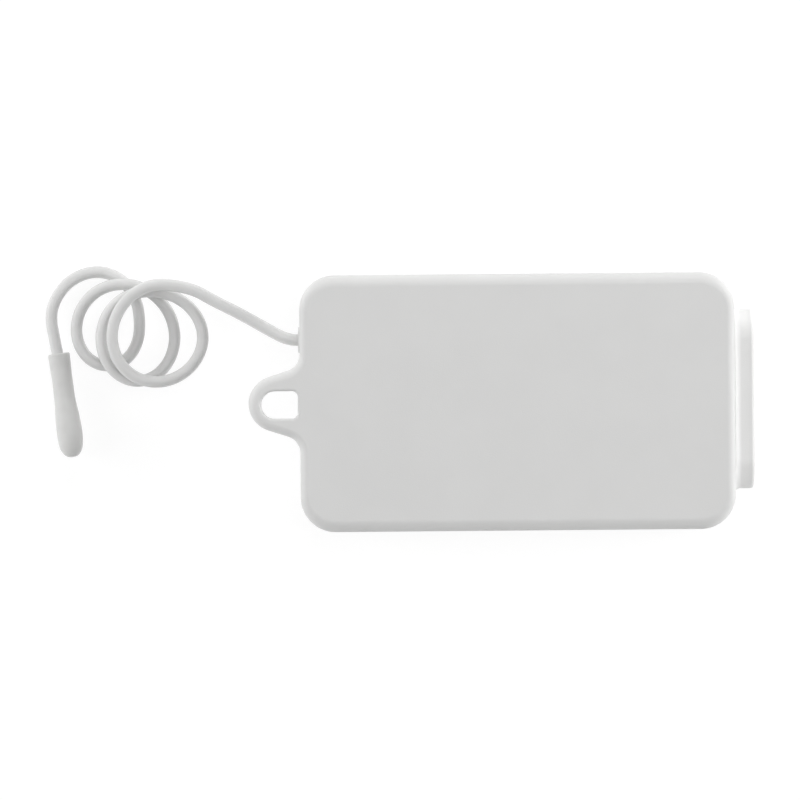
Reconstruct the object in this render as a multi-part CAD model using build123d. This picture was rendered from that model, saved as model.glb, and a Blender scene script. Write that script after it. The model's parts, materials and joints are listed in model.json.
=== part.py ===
from build123d import *

import math
import os

# A wi-fi switch module with a wired temperature probe, in millimetres.
# It lies on its front face: +X runs along it to the wire entries, +Y across it, and +Z from
# the front face, at zero, to the back face, which carries the hanging lug.
# The origin is the centre of the front face.

# Case: two trays that meet at a seam, with a lip inside it
case_length = 87.2
case_width = 51.5
corner_radius = 7.0
edge_round = 1.7
wall = 2.0
seam_height = 12.0
lip_height = 1.2
lip_thickness = 0.9
fit_gap = 0.1
overrun = 1.0

# Hanging lug, moulded on the back shell with its face in the plane of the back
lug_reach = 10.3
lug_tip_radius = 5.6
lug_root_width = 14.8
lug_flare_radius = 3.5
lug_thickness = 4.0
lug_offset = 0.1
slot_length = 7.4
slot_width = 5.5
slot_corner = 1.2
slot_round = 0.5
slot_offset = -0.15
slot_from_case = 0.4

# Case screws: four self-tapping screws from the front face
screw_inset_x = 7.1
screw_inset_y = 5.6
boss_radius = 3.0
boss_web = 1.2
screw_head_radius = 2.2
screw_head_height = 1.6
screw_head_sunk = 1.4
screw_well_radius = 2.4
screw_shank_radius = 1.2
screw_length = 16.0
screw_tip_length = 1.0
screw_tip_radius = 0.4
screw_hole_radius = 1.45
screw_pilot_gap = 0.05
screw_pilot_floor = 1.2
screw_drive_width = 0.7
screw_drive_length = 2.6
screw_drive_depth = 0.9

# Circuit board, close under the back face with its parts hanging towards the front
board_thickness = 1.6
board_side_gap = 1.2
board_end_gap = 1.0
board_collar_gap = 1.1
solder_room = 2.5
board_boss_gap = 0.4
board_post_radius = 1.6
board_post_x = 24.0
board_post_inset = 1.9
leg_tail = 1.2
leg_root = 0.5
leg_width = 0.6
leg_hole_radius = 0.55

# Collar round the wire entries, trapped between the shells
collar_side_gap = 0.25
collar_height = 14.0
collar_corner = 6.0
collar_reach = 4.1
collar_round = 0.7
collar_root_round = 1.2
collar_root_reach = 1.3
collar_root_lip = 0.2
collar_offset = 0.3
collar_drop = 4.9
collar_wall = 2.0
collar_mouth_corner = 4.0
collar_mouth_round = 0.5
flange_thickness = 1.5
flange_overhang = 1.6

# Terminal block with rising cages
pole_count = 4
block_boss_gap = 1.01
block_gap = 0.3
block_depth = 11.8
block_side = 0.6
entry_wall = 2.8
entry_radius = 2.0
cell_length = 6.0
cell_rib = 1.3
shoulder_thickness = 0.6
head_bore_radius = 2.3
head_bore_depth = 2.1
terminal_head_radius = 2.1
terminal_head_height = 1.75
terminal_slot_width = 0.6
terminal_slot_depth = 0.8
terminal_shank_radius = 1.5
shoulder_hole_radius = 1.6
running_gap = 0.05
cage_length = 5.4
cage_side_gap = 0.2
cage_wall = 0.8
cage_nut_thickness = 1.4
cage_opening = 5.4
cage_travel = 2.5
cage_stop_gap = 0.1
cage_top_gap = 0.6
clamp_gap = 0.5
bar_thickness = 0.8
bar_side_gap = 0.4
bar_gap = 0.3
bar_tail_share = 0.6
bar_slot_gap = 0.2
access_tube_wall = 0.8

# Cable grommet in the left wall
exit_boss_gap = 4.2
exit_height = 12.0
grommet_face_radius = 2.7
grommet_proud = 0.45
grommet_neck_radius = 2.1
grommet_flange_radius = 2.9
grommet_flange_thickness = 1.2
grommet_face_round = 0.3

# Probe lead and the wires inside the case
cable_radius = 1.2
jacket_end_reach = 0.8
wire_radius = 0.55
wire_spacing = 1.3

# Sensor connector
header_x = -27.0
header_length = 5.8
header_width = 7.6
header_height = 6.4
header_wall = 0.7
plug_length = 6.8
plug_pitch = 2.5
plug_stand_out = 2.1
header_pin_length = 3.0

# Button, switch and lamp
button_x = -14.0
button_y_share = 0.532
button_radius = 4.0
button_hole_gap = 0.1
button_sunk = 0.3
button_flange_radius = 4.8
button_flange_thickness = 0.8
button_stem_radius = 1.5
button_tube_wall = 1.0
button_tube_height = 5.0
button_dish_depth = 0.3
button_travel = 0.3
switch_side = 6.0
switch_height = 3.5
switch_bore_depth = 2.5
plunger_radius = 1.7
plunger_height = 5.0
plunger_spare = 0.15
lamp_x = -21.0
lamp_radio_gap = 4.0
lamp_radius = 1.5
lamp_height = 4.6
lamp_rim_radius = 1.9
lamp_rim_height = 1.0
pipe_radius = 1.5
pipe_sunk = 0.1
pipe_flange_radius = 2.2
pipe_flange_thickness = 0.8
pipe_tube_wall = 0.8
pipe_tube_height = 6.0

# Relay, in its own frame: its foot at zero, its coil standing up from it
relay_block_gap = 3.5
relay_y_share = 0.333
relay_floor_gap = 0.7
relay_length = 19.0
relay_width = 15.4
relay_height = 15.2
relay_cover_wall = 0.8
relay_cover_round = 0.8
relay_base_thickness = 2.0
coil_x = -2.3
coil_flange_radius = 4.7
coil_flange_thickness = 0.8
coil_tube_radius = 2.6
coil_length = 4.7
coil_wire_radius = 4.3
coil_gap = 0.05
core_radius = 1.8
pole_face_radius = 2.8
pole_face_height = 0.6
yoke_thickness = 1.0
yoke_width = 7.0
yoke_back = -8.2
armature_thickness = 0.9
armature_length = 9.6
armature_width = 7.2
armature_gap = 0.05
armature_angle = 3.0
leaf_thickness = 0.25
leaf_width = 3.2
leaf_start = -3.0
leaf_end = 7.3
contact_x = 6.2
contact_radius = 1.2
contact_height = 0.65
rivet_radius = 0.5
rivet_height = 0.4
rivet_spacing = 1.6
blade_x = 8.0
blade_thickness = 0.5
blade_width = 3.0
blade_offset = 3.0
coil_leg_offset = 5.1

# Transformer, in its own frame
transformer_x = -4.6
transformer_y_share = -0.124
transformer_base_length = 13.2
transformer_base_width = 12.4
transformer_base_thickness = 1.5
core_length = 13.4
core_width = 6.0
core_height = 11.0
core_limb = 2.2
centre_limb = 4.2
core_yoke = 2.1
winding_length = 8.6
winding_width = 11.0
winding_round = 1.2
winding_gap = 0.1
transformer_leg_pitch = 10.0
transformer_leg_spread = 10.0

# Other parts on the board: their places across it are shares of half its width
bulk_radius = 4.0
bulk_height = 12.0
bulk_round = 0.6
bulk_groove_depth = 0.3
bulk_groove_height = 1.6
bulk_leg_pitch = 3.5
bulk_x = (-2.6, -9.2)
bulk_y_shares = (0.515, -0.692)
film_x = 5.2
film_y_share = -0.692
film_length = 15.0
film_width = 7.5
film_height = 12.0
film_round = 0.6
film_leg_pitch = 12.5
disc_x = 20.6
disc_y_share = -0.639
disc_radius = 5.0
disc_thickness = 3.6
disc_round = 1.2
disc_lift = 1.2
disc_leg_pitch = 5.0
fuse_x = 17.2
fuse_y_share = -0.248
fuse_length = 11.0
fuse_radius = 1.7
fuse_cap_radius = 2.0
fuse_cap_length = 2.2
fuse_leg_pitch = 8.8
bridge_x = 6.8
bridge_y_share = -0.275
bridge_length = 6.4
bridge_width = 8.2
bridge_height = 3.2
bridge_leg_pitch = 5.0
regulator_x = -13.3
regulator_y_share = -0.133
regulator_length = 3.3
regulator_width = 6.5
regulator_height = 1.6
regulator_tab_reach = 0.9
regulator_tab_width = 3.0
regulator_tab_thickness = 0.3

# Radio module
radio_edge_gap = 0.4
radio_boss_gap = 0.55
radio_length = 24.0
radio_width = 16.0
radio_thickness = 0.8
shield_length = 15.0
shield_width = 12.4
shield_height = 2.4
shield_wall = 0.3
shield_round = 0.5
shield_offset = 3.3
chip_side = 5.0
chip_height = 0.9
antenna_width = 0.6
antenna_thickness = 0.15
antenna_depth = 4.2
antenna_pitch = 1.5
antenna_turns = 4
antenna_edge = 0.8

# Chip resistors and capacitors, in rows between the radio module and the sensor connector
chip_part_length = 2.0
chip_part_width = 1.25
chip_part_height = 0.6
chip_part_pitch = 3.0
chip_row_count = 2
chip_column_count = 3
chip_edge_gap = 2.6
chip_row_gap = 1.6

# Free lead: its route from the case to the first loop
lead_route = (
    (-44.05, 12.95, 12.0),
    (-47.2, 12.95, 12.0),
    (-50.9, 15.2, 11.9),
    (-56.0, 18.5, 11.65),
    (-61.0, 21.0, 11.45),
)
lead_last_run = 3.0

# Loose loops: their far edges at given turns, which the lead follows from one to the next.
# A turn is counted from the back of the first loop, and each loop lies under the last.
loop_left = ((0.0, -80.7), (0.25, -81.4), (1.25, -84.4), (2.25, -89.55), (3.25, -94.85))
loop_right = ((0.0, -63.3), (0.75, -63.2), (1.75, -69.2), (2.75, -76.6), (3.25, -76.0))
loop_back = ((0.0, 24.6), (1.0, 23.3), (2.0, 24.9), (3.0, 27.5))
loop_front = ((0.5, 4.55), (1.5, 4.75), (2.5, 8.05), (3.25, 8.5))
loop_level = ((0.0, 11.0), (1.0, 7.8), (2.0, 4.6), (2.95, 1.3), (3.1, 1.4), (3.25, 2.3))
loop_first_turn = -0.03
loop_last_turn = 3.25
loop_stub = 2.4

# Dipped probe at the end of the lead
probe_x = -93.4
probe_y = 10.8
probe_level = 2.7
probe_angle = -82.85
probe_length = 21.4
probe_mouth_radius = 2.25
probe_waist_radius = 2.08
probe_waist_place = 7.1
probe_bulb_radius = 2.65
probe_bulb_place = 16.4
probe_tip_radius = 1.0
nose_share = 0.7
probe_mouth_depth = 0.9
probe_mouth_wall = 0.35
probe_bore_gap = 0.05
probe_cable_depth = 4.0
probe_run = 2.6
bead_radius = 0.9
bead_length = 3.2
bead_wire_radius = 0.2
bead_wire_spacing = 0.9
bead_gap = 0.1
bead_depth = 15.0

# Places worked out from the sizes above
block_height = (
    cage_top_gap
    + cage_wall
    + cage_opening
    + cage_nut_thickness
    + cage_travel
    + cage_stop_gap
    + shoulder_thickness
    + head_bore_depth
)
tallest = max(relay_height, block_height)
case_height = 2 * wall + solder_room + board_thickness + tallest + relay_floor_gap
case_left = -case_length / 2
case_right = case_length / 2
inner_left = case_left + wall
inner_right = case_right - wall
ceiling = case_height - wall
board_top = ceiling - solder_room
board_face = board_top - board_thickness
board_left = inner_left + board_end_gap
collar_flange_back = inner_right - flange_thickness
board_right = collar_flange_back - board_collar_gap
board_half_width = case_width / 2 - wall - board_side_gap
screw_x = case_right - screw_inset_x
screw_y = case_width / 2 - screw_inset_y
block_front = collar_flange_back - block_gap
block_back = block_front - block_depth
block_width = 2 * (screw_y - boss_radius - block_boss_gap - abs(collar_offset))
pole_pitch = (block_width - 2 * block_side) / pole_count
cell_width = pole_pitch - cell_rib
cage_width = cell_width - 2 * cage_side_gap
bar_width = cage_width - 2 * (cage_wall + bar_side_gap)
bar_tail_width = bar_tail_share * bar_width
collar_width = block_width + 2 * (collar_side_gap + collar_wall)
collar_level = board_face - collar_drop
cell_front = block_front - entry_wall
cell_back = cell_front - cell_length
cell_middle = (cell_front + cell_back) / 2
cage_high = board_face - cage_top_gap
cage_inside_high = cage_high - cage_wall
cage_inside_low = cage_inside_high - cage_opening
cage_low = cage_inside_low - cage_nut_thickness
cell_floor = cage_low - cage_travel - cage_stop_gap
shoulder_level = cell_floor - shoulder_thickness
block_bottom = shoulder_level - head_bore_depth
bar_high = cage_inside_high - cage_travel - clamp_gap
bar_low = bar_high - bar_thickness
entry_level = (bar_high + cage_inside_high) / 2
exit_offset = screw_y - boss_radius - exit_boss_gap
exit_face = case_left - grommet_proud
cable_end = inner_left + grommet_flange_thickness + jacket_end_reach
hinge_level = (
    relay_base_thickness
    + yoke_thickness
    + 2 * coil_flange_thickness
    + coil_length
    + 2 * coil_gap
    + pole_face_height
    + armature_gap
)
relay_x = block_back - relay_block_gap - relay_length / 2
radio_x = board_left + radio_edge_gap + radio_length / 2
radio_y = radio_width / 2 - (screw_y - boss_radius - radio_boss_gap)
radio_top = radio_y + radio_width / 2
lamp_y = radio_top + lamp_radio_gap
chip_part_x = board_left + chip_edge_gap
chip_part_y = radio_top + chip_row_gap + chip_part_length / 2
relay_y = relay_y_share * board_half_width
button_y = button_y_share * board_half_width
transformer_y = transformer_y_share * board_half_width
film_y = film_y_share * board_half_width
disc_y = disc_y_share * board_half_width
fuse_y = fuse_y_share * board_half_width
bridge_y = bridge_y_share * board_half_width
regulator_y = regulator_y_share * board_half_width
bulk_places = [(x, share * board_half_width) for x, share in zip(bulk_x, bulk_y_shares)]
corners = [(sx * screw_x, sy * screw_y) for sx in (-1, 1) for sy in (-1, 1)]
board_post_y = board_half_width - board_post_inset
board_posts = [(sx * board_post_x, sy * board_post_y) for sx in (-1, 1) for sy in (-1, 1)]
poles = [
    collar_offset + (n - (pole_count - 1) / 2) * pole_pitch for n in range(pole_count)
]
centred = (Align.CENTER, Align.CENTER, Align.MIN)
from_corner = (Align.MIN, Align.MIN, Align.MIN)


def post(x, y, radius, low, high):
    """A round post or hole along Z, from one level to another."""
    return Pos(x, y, low) * Cylinder(radius, high - low, align=centred)


def block(low, high):
    """A box from its lowest corner to its highest."""
    spans = [b - a for a, b in zip(low, high)]
    return Pos(*low) * Box(*spans, align=from_corner)


def slab(near, far, low, high):
    """A box between two opposite corners seen from above, from one level to another."""
    left, right = sorted((near[0], far[0]))
    front, back = sorted((near[1], far[1]))
    return block((left, front, low), (right, back, high))


def case_block(low, high, inset):
    """The case's outline drawn in by an inset, from one level to another."""
    outline = RectangleRounded(
        case_length - 2 * inset, case_width - 2 * inset, corner_radius - inset
    )
    return Pos(0, 0, low) * extrude(outline, high - low)


def across(x, y, z):
    """A plane square to the case's length: its own x is +Y and its own y is +Z."""
    return Plane(origin=(x, y, z), x_dir=(0, 1, 0), z_dir=(1, 0, 0))


def along(x, y, z, radius, length):
    """A round bar along +X that starts at a point."""
    return across(x, y, z) * Cylinder(radius, length, align=centred)


def rounded_bar(x, width, height, corner, length):
    """A bar with rounded corners along +X, in line with the collar."""
    outline = RectangleRounded(width, height, corner)
    return across(x, collar_offset, collar_level) * extrude(outline, length)


def grouped(solids):
    """Separate solids in one node."""
    return Compound(children=[piece for solid in solids for piece in solid.solids()])


def hung(shape, x, y):
    """Puts a part that was drawn standing on its foot on the board's component face."""
    return Pos(x, y, board_face) * Rot(180, 0, 0) * shape


def legs(places):
    """Square legs through the board, for a part in its own frame."""
    length = board_thickness + leg_tail + leg_root
    foot = -(board_thickness + leg_tail)
    return [
        Pos(x, y, foot) * Box(leg_width, leg_width, length, align=centred)
        for x, y in places
    ]


def with_legs(shape, places):
    """A part fused with its legs."""
    for leg in legs(places):
        shape += leg
    return shape


def pair(pitch):
    """Two legs in line along X."""
    return [(-pitch / 2, 0), (pitch / 2, 0)]


def four(pitch, spread):
    """Four legs at the corners of a rectangle."""
    return [(sx * pitch / 2, sy * spread / 2) for sx in (-1, 1) for sy in (-1, 1)]


# Where each part's legs go through the board, in the part's own frame
relay_coil_legs = [(coil_x, -coil_leg_offset), (coil_x, coil_leg_offset)]
relay_common_leg = [(yoke_back + yoke_thickness / 2, 0)]
relay_open_leg = [(blade_x, -blade_offset)]
relay_closed_leg = [(blade_x, blade_offset)]
relay_legs = relay_coil_legs + relay_common_leg + relay_open_leg + relay_closed_leg
transformer_legs = four(transformer_leg_pitch, transformer_leg_spread)
switch_legs = four(switch_side, switch_side - 2 * leg_width)
header_legs = [(header_length / 4, -plug_pitch / 2), (header_length / 4, plug_pitch / 2)]
bridge_legs = four(bridge_leg_pitch, bridge_width - 2 * leg_width)
lamp_legs = pair(plug_pitch)
leg_sets = [
    (relay_x, relay_y, relay_legs),
    (transformer_x, transformer_y, transformer_legs),
    (button_x, button_y, switch_legs),
    (lamp_x, lamp_y, lamp_legs),
    (header_x, exit_offset, header_legs),
    (bridge_x, bridge_y, bridge_legs),
    (film_x, film_y, pair(film_leg_pitch)),
    (disc_x, disc_y, pair(disc_leg_pitch)),
    (fuse_x, fuse_y, pair(fuse_leg_pitch)),
] + [(x, y, pair(bulk_leg_pitch)) for x, y in bulk_places]


def lug_outline():
    """The case's outline with the lug on its left end, flared where it leaves the wall."""
    tip_x = case_left - lug_reach + lug_tip_radius
    tip = Pos(tip_x, lug_offset) * Circle(lug_tip_radius)
    root = Pos(case_left + lug_flare_radius / 2, lug_offset) * Rectangle(
        lug_flare_radius, lug_root_width
    )
    tab = make_hull(tip.edges() + root.edges())
    plate = RectangleRounded(case_length, case_width, corner_radius) + tab
    inner = [
        v
        for v in plate.vertices()
        if abs(v.X - case_left) < fit_gap and abs(v.Y - lug_offset) < lug_root_width
    ]
    return fillet(inner, lug_flare_radius)


def lug_slot():
    """The slot in the lug: round at its outer end, with small corners beside the case."""
    right = case_left - slot_from_case
    centre = right - slot_length + slot_width / 2
    straight = Pos((centre + right) / 2, slot_offset) * Rectangle(right - centre, slot_width)
    straight = fillet(straight.vertices().sort_by(Axis.X)[-2:], slot_corner)
    return straight + Pos(centre, slot_offset) * Circle(slot_width / 2)


def wall_openings():
    """What is cut through both shells: the collar's neck and the grommet's neck."""
    neck = rounded_bar(
        inner_right - overrun,
        collar_width + 2 * fit_gap,
        collar_height + 2 * fit_gap,
        collar_corner + fit_gap,
        wall + 2 * overrun,
    )
    gland = along(
        case_left - overrun,
        exit_offset,
        exit_height,
        grommet_neck_radius + fit_gap,
        wall + 2 * overrun,
    )
    return neck + gland


def boss(x, y, low, high):
    """A screw boss with the web that ties it to the side wall."""
    side = math.copysign(case_width / 2 - wall / 2, y)
    web = slab((x - boss_web / 2, y), (x + boss_web / 2, side), low, high)
    return post(x, y, boss_radius, low, high) + web


def back_shell():
    """The back tray: the lug, four blind bosses and four pads that the board seats on."""
    shell = case_block(seam_height, case_height, 0)
    shell += Pos(0, 0, case_height - lug_thickness) * extrude(lug_outline(), lug_thickness)
    rim = shell.faces().sort_by(Axis.Z)[-1].outer_wire().edges()
    shell = fillet(rim, edge_round)
    slot_low = case_height - lug_thickness - overrun
    shell -= Pos(0, 0, slot_low) * extrude(lug_slot(), lug_thickness + 2 * overrun)
    face = shell.faces().sort_by(Axis.Z)[-1]
    shell = fillet(face.inner_wires()[0].edges(), slot_round)
    shell -= case_block(seam_height - overrun, ceiling, wall)
    rebate_inset = wall - lip_thickness - fit_gap
    shell -= case_block(seam_height - overrun, seam_height + lip_height + fit_gap, rebate_inset)
    for x, y in corners:
        shell += boss(x, y, seam_height + lip_height + fit_gap, ceiling)
        shell += post(x, y, boss_radius, seam_height, ceiling)
    for x, y in corners:
        pilot = screw_shank_radius + screw_pilot_gap
        shell -= post(x, y, pilot, seam_height - overrun, ceiling - screw_pilot_floor)
    for x, y in board_posts:
        shell += post(x, y, board_post_radius, board_top, ceiling)
    return shell - wall_openings()


def front_shell():
    """The front tray: screw wells, board posts, and tubes for the button, lamp and terminals."""
    shell = case_block(0, seam_height, 0)
    rim = shell.faces().sort_by(Axis.Z)[0].outer_wire().edges()
    shell = fillet(rim, edge_round)
    shell += case_block(wall, seam_height + lip_height, wall - lip_thickness)
    shell -= case_block(wall, seam_height + lip_height + overrun, wall)
    for x, y in corners:
        shell += boss(x, y, wall, seam_height)
    for x, y in board_posts:
        shell += post(x, y, board_post_radius, wall, board_face)
    tube_radius = button_flange_radius + button_hole_gap
    tube_outer = tube_radius + button_tube_wall
    shell += post(button_x, button_y, tube_outer, wall, wall + button_tube_height)
    shell -= post(button_x, button_y, tube_radius, wall, wall + button_tube_height + overrun)
    shell -= post(button_x, button_y, button_radius + button_hole_gap, -overrun, wall + overrun)
    pipe_bore = pipe_flange_radius + running_gap
    pipe_outer = pipe_bore + pipe_tube_wall
    shell += post(lamp_x, lamp_y, pipe_outer, wall, wall + pipe_tube_height)
    shell -= post(lamp_x, lamp_y, pipe_bore, wall, wall + pipe_tube_height + overrun)
    shell -= post(lamp_x, lamp_y, pipe_radius + running_gap, -overrun, wall + overrun)
    tube_top = block_bottom - block_gap
    for y in poles:
        outer = head_bore_radius + access_tube_wall
        shell += post(cell_middle, y, outer, wall, tube_top)
    for y in poles:
        shell -= post(cell_middle, y, head_bore_radius, -overrun, tube_top + overrun)
    for x, y in corners:
        well_top = screw_head_sunk + screw_head_height
        shell -= post(x, y, screw_well_radius, -overrun, well_top)
        shell -= post(x, y, screw_hole_radius, -overrun, seam_height + overrun)
    return shell - wall_openings()


def housing_screw(x, y):
    """A pan-head tapping screw with a cross drive and a tapered end."""
    head = post(x, y, screw_head_radius, screw_head_sunk, screw_head_sunk + screw_head_height)
    head = fillet(head.edges().sort_by(Axis.Z)[0], screw_drive_width)
    under = screw_head_sunk + screw_head_height
    shank_top = under + screw_length - screw_tip_length
    shank = post(x, y, screw_shank_radius, under, shank_top)
    tip = Pos(x, y, shank_top) * Cone(
        screw_shank_radius, screw_tip_radius, screw_tip_length, align=centred
    )
    drive = Pos(x, y, screw_head_sunk)
    for spans in (
        (screw_drive_length, screw_drive_width),
        (screw_drive_width, screw_drive_length),
    ):
        head -= drive * Box(*spans, 2 * screw_drive_depth)
    return head + shank + tip


def terminal_collar():
    """The raised collar, flared where it meets the wall, and the flange that holds it."""
    length = flange_thickness + wall + collar_reach
    collar = rounded_bar(
        collar_flange_back, collar_width, collar_height, collar_corner, length
    )
    collar = fillet(collar.faces().sort_by(Axis.X)[-1].outer_wire().edges(), collar_round)
    collar += rounded_bar(
        case_right,
        collar_width + 2 * collar_root_reach,
        collar_height + 2 * collar_root_reach,
        collar_corner + collar_root_reach,
        collar_root_lip,
    )
    root = collar.faces().filter_by(Axis.X).sort_by(Axis.X)[-2]
    collar = fillet(root.inner_wires()[0].edges(), collar_root_round)
    flange = rounded_bar(
        collar_flange_back,
        collar_width + 2 * flange_overhang,
        collar_height + 2 * flange_overhang,
        collar_corner + flange_overhang,
        flange_thickness,
    )
    collar += flange & case_block(wall, ceiling, wall)
    mouth = rounded_bar(
        collar_flange_back - overrun,
        collar_width - 2 * collar_wall,
        collar_height - 2 * collar_wall,
        collar_mouth_corner,
        length + 2 * overrun,
    )
    collar -= mouth
    front = collar.faces().sort_by(Axis.X)[-1]
    return fillet(front.inner_wires()[0].edges(), collar_mouth_round)


def cable_grommet():
    """A flanged ring that seats in the left wall and grips the lead."""
    neck_length = grommet_proud + wall + grommet_flange_thickness
    face = along(exit_face, exit_offset, exit_height, grommet_face_radius, grommet_proud)
    face = fillet(face.edges().filter_by(GeomType.CIRCLE).sort_by(Axis.X)[0], grommet_face_round)
    neck = along(exit_face, exit_offset, exit_height, grommet_neck_radius, neck_length)
    flange = along(
        inner_left, exit_offset, exit_height, grommet_flange_radius, grommet_flange_thickness
    )
    bore = along(
        exit_face - overrun,
        exit_offset,
        exit_height,
        cable_radius + running_gap,
        neck_length + 2 * overrun,
    )
    return face + neck + flange - bore


def inner_cable():
    """The end of the lead inside the grommet."""
    return along(exit_face, exit_offset, exit_height, cable_radius, cable_end - exit_face)


def circuit_board():
    """The board, notched round the screw bosses, with its leg holes."""
    board = block(
        (board_left, -board_half_width, board_face), (board_right, board_half_width, board_top)
    )
    low = board_face - overrun
    high = board_top + overrun
    notch = boss_radius + board_boss_gap
    for x, y in corners:
        far = (math.copysign(case_right, x), math.copysign(case_width / 2, y))
        board -= post(x, y, notch, low, high)
        board -= slab((x - math.copysign(notch, x), y), far, low, high)
        board -= slab((x, y - math.copysign(notch, y)), far, low, high)
    for x, y, places in leg_sets:
        for leg_x, leg_y in places:
            board -= post(x + leg_x, y - leg_y, leg_hole_radius, low, high)
    tail_x = bar_tail_x()
    hole = math.hypot(bar_tail_width, bar_thickness) / 2 + fit_gap
    for y in poles:
        board -= post(tail_x, y, hole, low, high)
    return board


def bar_tail_x():
    """Where a terminal bar turns up to the board."""
    return cell_back - bar_tail_width


def terminal_body():
    """The terminal housing: for each pole a cell, a wire entry, a screw bore and a bar slot."""
    low_y = collar_offset - block_width / 2
    high_y = collar_offset + block_width / 2
    body = block((block_back, low_y, block_bottom), (block_front, high_y, board_face))
    body = chamfer(body.edges().filter_by(Axis.Y).group_by(Axis.Z)[0], block_side)
    top = board_face + overrun
    for y in poles:
        body -= block(
            (cell_back, y - cell_width / 2, cell_floor), (cell_front, y + cell_width / 2, top)
        )
        slot_back = bar_tail_x() - bar_thickness / 2 - bar_slot_gap
        half = bar_width / 2 + bar_slot_gap
        body -= block((slot_back, y - half, bar_low), (cell_back + overrun, y + half, top))
        body -= post(cell_middle, y, head_bore_radius, block_bottom - overrun, shoulder_level)
        body -= post(cell_middle, y, shoulder_hole_radius, block_bottom, cell_floor + overrun)
        body -= along(
            cell_front - overrun, y, entry_level, entry_radius, entry_wall + 2 * overrun
        )
    return body


def terminal_bar(y):
    """A current bar: its blade crosses the cage, its tail goes up through the board."""
    blade = block(
        (bar_tail_x() - bar_thickness / 2, y - bar_width / 2, bar_low),
        (cell_front - bar_slot_gap, y + bar_width / 2, bar_high),
    )
    tail = Pos(bar_tail_x(), y, bar_low) * Box(
        bar_thickness, bar_tail_width, board_top + leg_tail - bar_low, align=centred
    )
    return blade + tail


def terminal_screw(y):
    """A captive clamp screw, its slotted head down in the bore."""
    head_low = shoulder_level - running_gap - terminal_head_height
    head_high = shoulder_level - running_gap
    screw = post(cell_middle, y, terminal_head_radius, head_low, head_high)
    screw -= Pos(cell_middle, y, head_low) * Box(
        2 * terminal_head_radius + overrun, terminal_slot_width, 2 * terminal_slot_depth
    )
    return screw + post(cell_middle, y, terminal_shank_radius, head_high, bar_low - bar_gap)


def terminal_cage(y):
    """A rising cage: its lower wall is the nut, its upper wall draws the wire to the bar."""
    half = cage_width / 2
    low_x = cell_middle - cage_length / 2
    high_x = cell_middle + cage_length / 2
    cage = block((low_x, y - half, cage_low), (high_x, y + half, cage_high))
    cage = fillet(cage.edges().filter_by(Axis.X), cage_wall / 2)
    inside = half - cage_wall
    cage -= block(
        (low_x - overrun, y - inside, cage_inside_low),
        (high_x + overrun, y + inside, cage_inside_high),
    )
    bore = terminal_shank_radius + running_gap
    return cage - post(cell_middle, y, bore, cage_low - overrun, cage_inside_low + overrun)


def button_cap():
    """The button: a dished face, a flange that stops it, and a stem up to the switch."""
    flange_low = wall + running_gap
    flange_high = flange_low + button_flange_thickness
    cap = post(button_x, button_y, button_radius, button_sunk, flange_high)
    cap = fillet(cap.edges().sort_by(Axis.Z)[0], button_dish_depth)
    cap += post(button_x, button_y, button_flange_radius, flange_low, flange_high)
    stem_top = board_face - plunger_height
    cap += post(button_x, button_y, button_stem_radius, flange_high, stem_top)
    dish_radius = (button_radius**2 / 4 + button_dish_depth**2) / (2 * button_dish_depth)
    dish_centre = button_sunk + button_dish_depth - dish_radius
    return cap - Pos(button_x, button_y, dish_centre) * Sphere(dish_radius)


def tact_switch():
    """The switch body, with its bore and four legs."""
    body = Box(switch_side, switch_side, switch_height, align=centred)
    body = fillet(body.edges().filter_by(Axis.Z), leg_width)
    body = with_legs(body, switch_legs)
    bore = plunger_radius + running_gap
    body -= post(0, 0, bore, switch_height - switch_bore_depth, switch_height + overrun)
    return hung(body, button_x, button_y)


def tact_plunger():
    """The plunger that the button's stem pushes in."""
    foot = switch_height - switch_bore_depth + button_travel + plunger_spare
    return hung(post(0, 0, plunger_radius, foot, plunger_height), button_x, button_y)


def light_pipe():
    """A clear rod from the front face to the lamp."""
    pipe_top = board_face - lamp_height - block_gap
    pipe = post(lamp_x, lamp_y, pipe_radius, pipe_sunk, pipe_top)
    return pipe + post(lamp_x, lamp_y, pipe_flange_radius, wall, wall + pipe_flange_thickness)


def status_led():
    """A small round lamp with a rim and a domed top."""
    straight = lamp_height - lamp_radius
    body = post(0, 0, lamp_rim_radius, 0, lamp_rim_height)
    body += post(0, 0, lamp_radius, lamp_rim_height, straight)
    body += Pos(0, 0, straight) * Sphere(lamp_radius)
    return hung(with_legs(body, lamp_legs), lamp_x, lamp_y)


def probe_header():
    """The board half of the sensor connector, open towards the grommet."""
    body = Box(header_length, header_width, header_height, align=centred)
    inside = header_length - header_wall
    body -= Pos(-header_wall / 2 - overrun / 2, 0, header_wall) * Box(
        inside + overrun,
        header_width - 2 * header_wall,
        header_height - 2 * header_wall,
        align=centred,
    )
    body = with_legs(body, header_legs)
    pin_start = header_length / 2 - header_wall - header_pin_length
    for side in (-1, 1):
        body += Pos(pin_start, side * plug_pitch / 2, header_height / 2) * Box(
            header_pin_length + leg_root,
            leg_width,
            leg_width,
            align=(Align.MIN, Align.CENTER, Align.CENTER),
        )
    return hung(body, header_x, exit_offset)


def plug_back_x():
    """The plug's outer end, where the wires leave it."""
    return header_x - header_length / 2 - plug_stand_out


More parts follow.
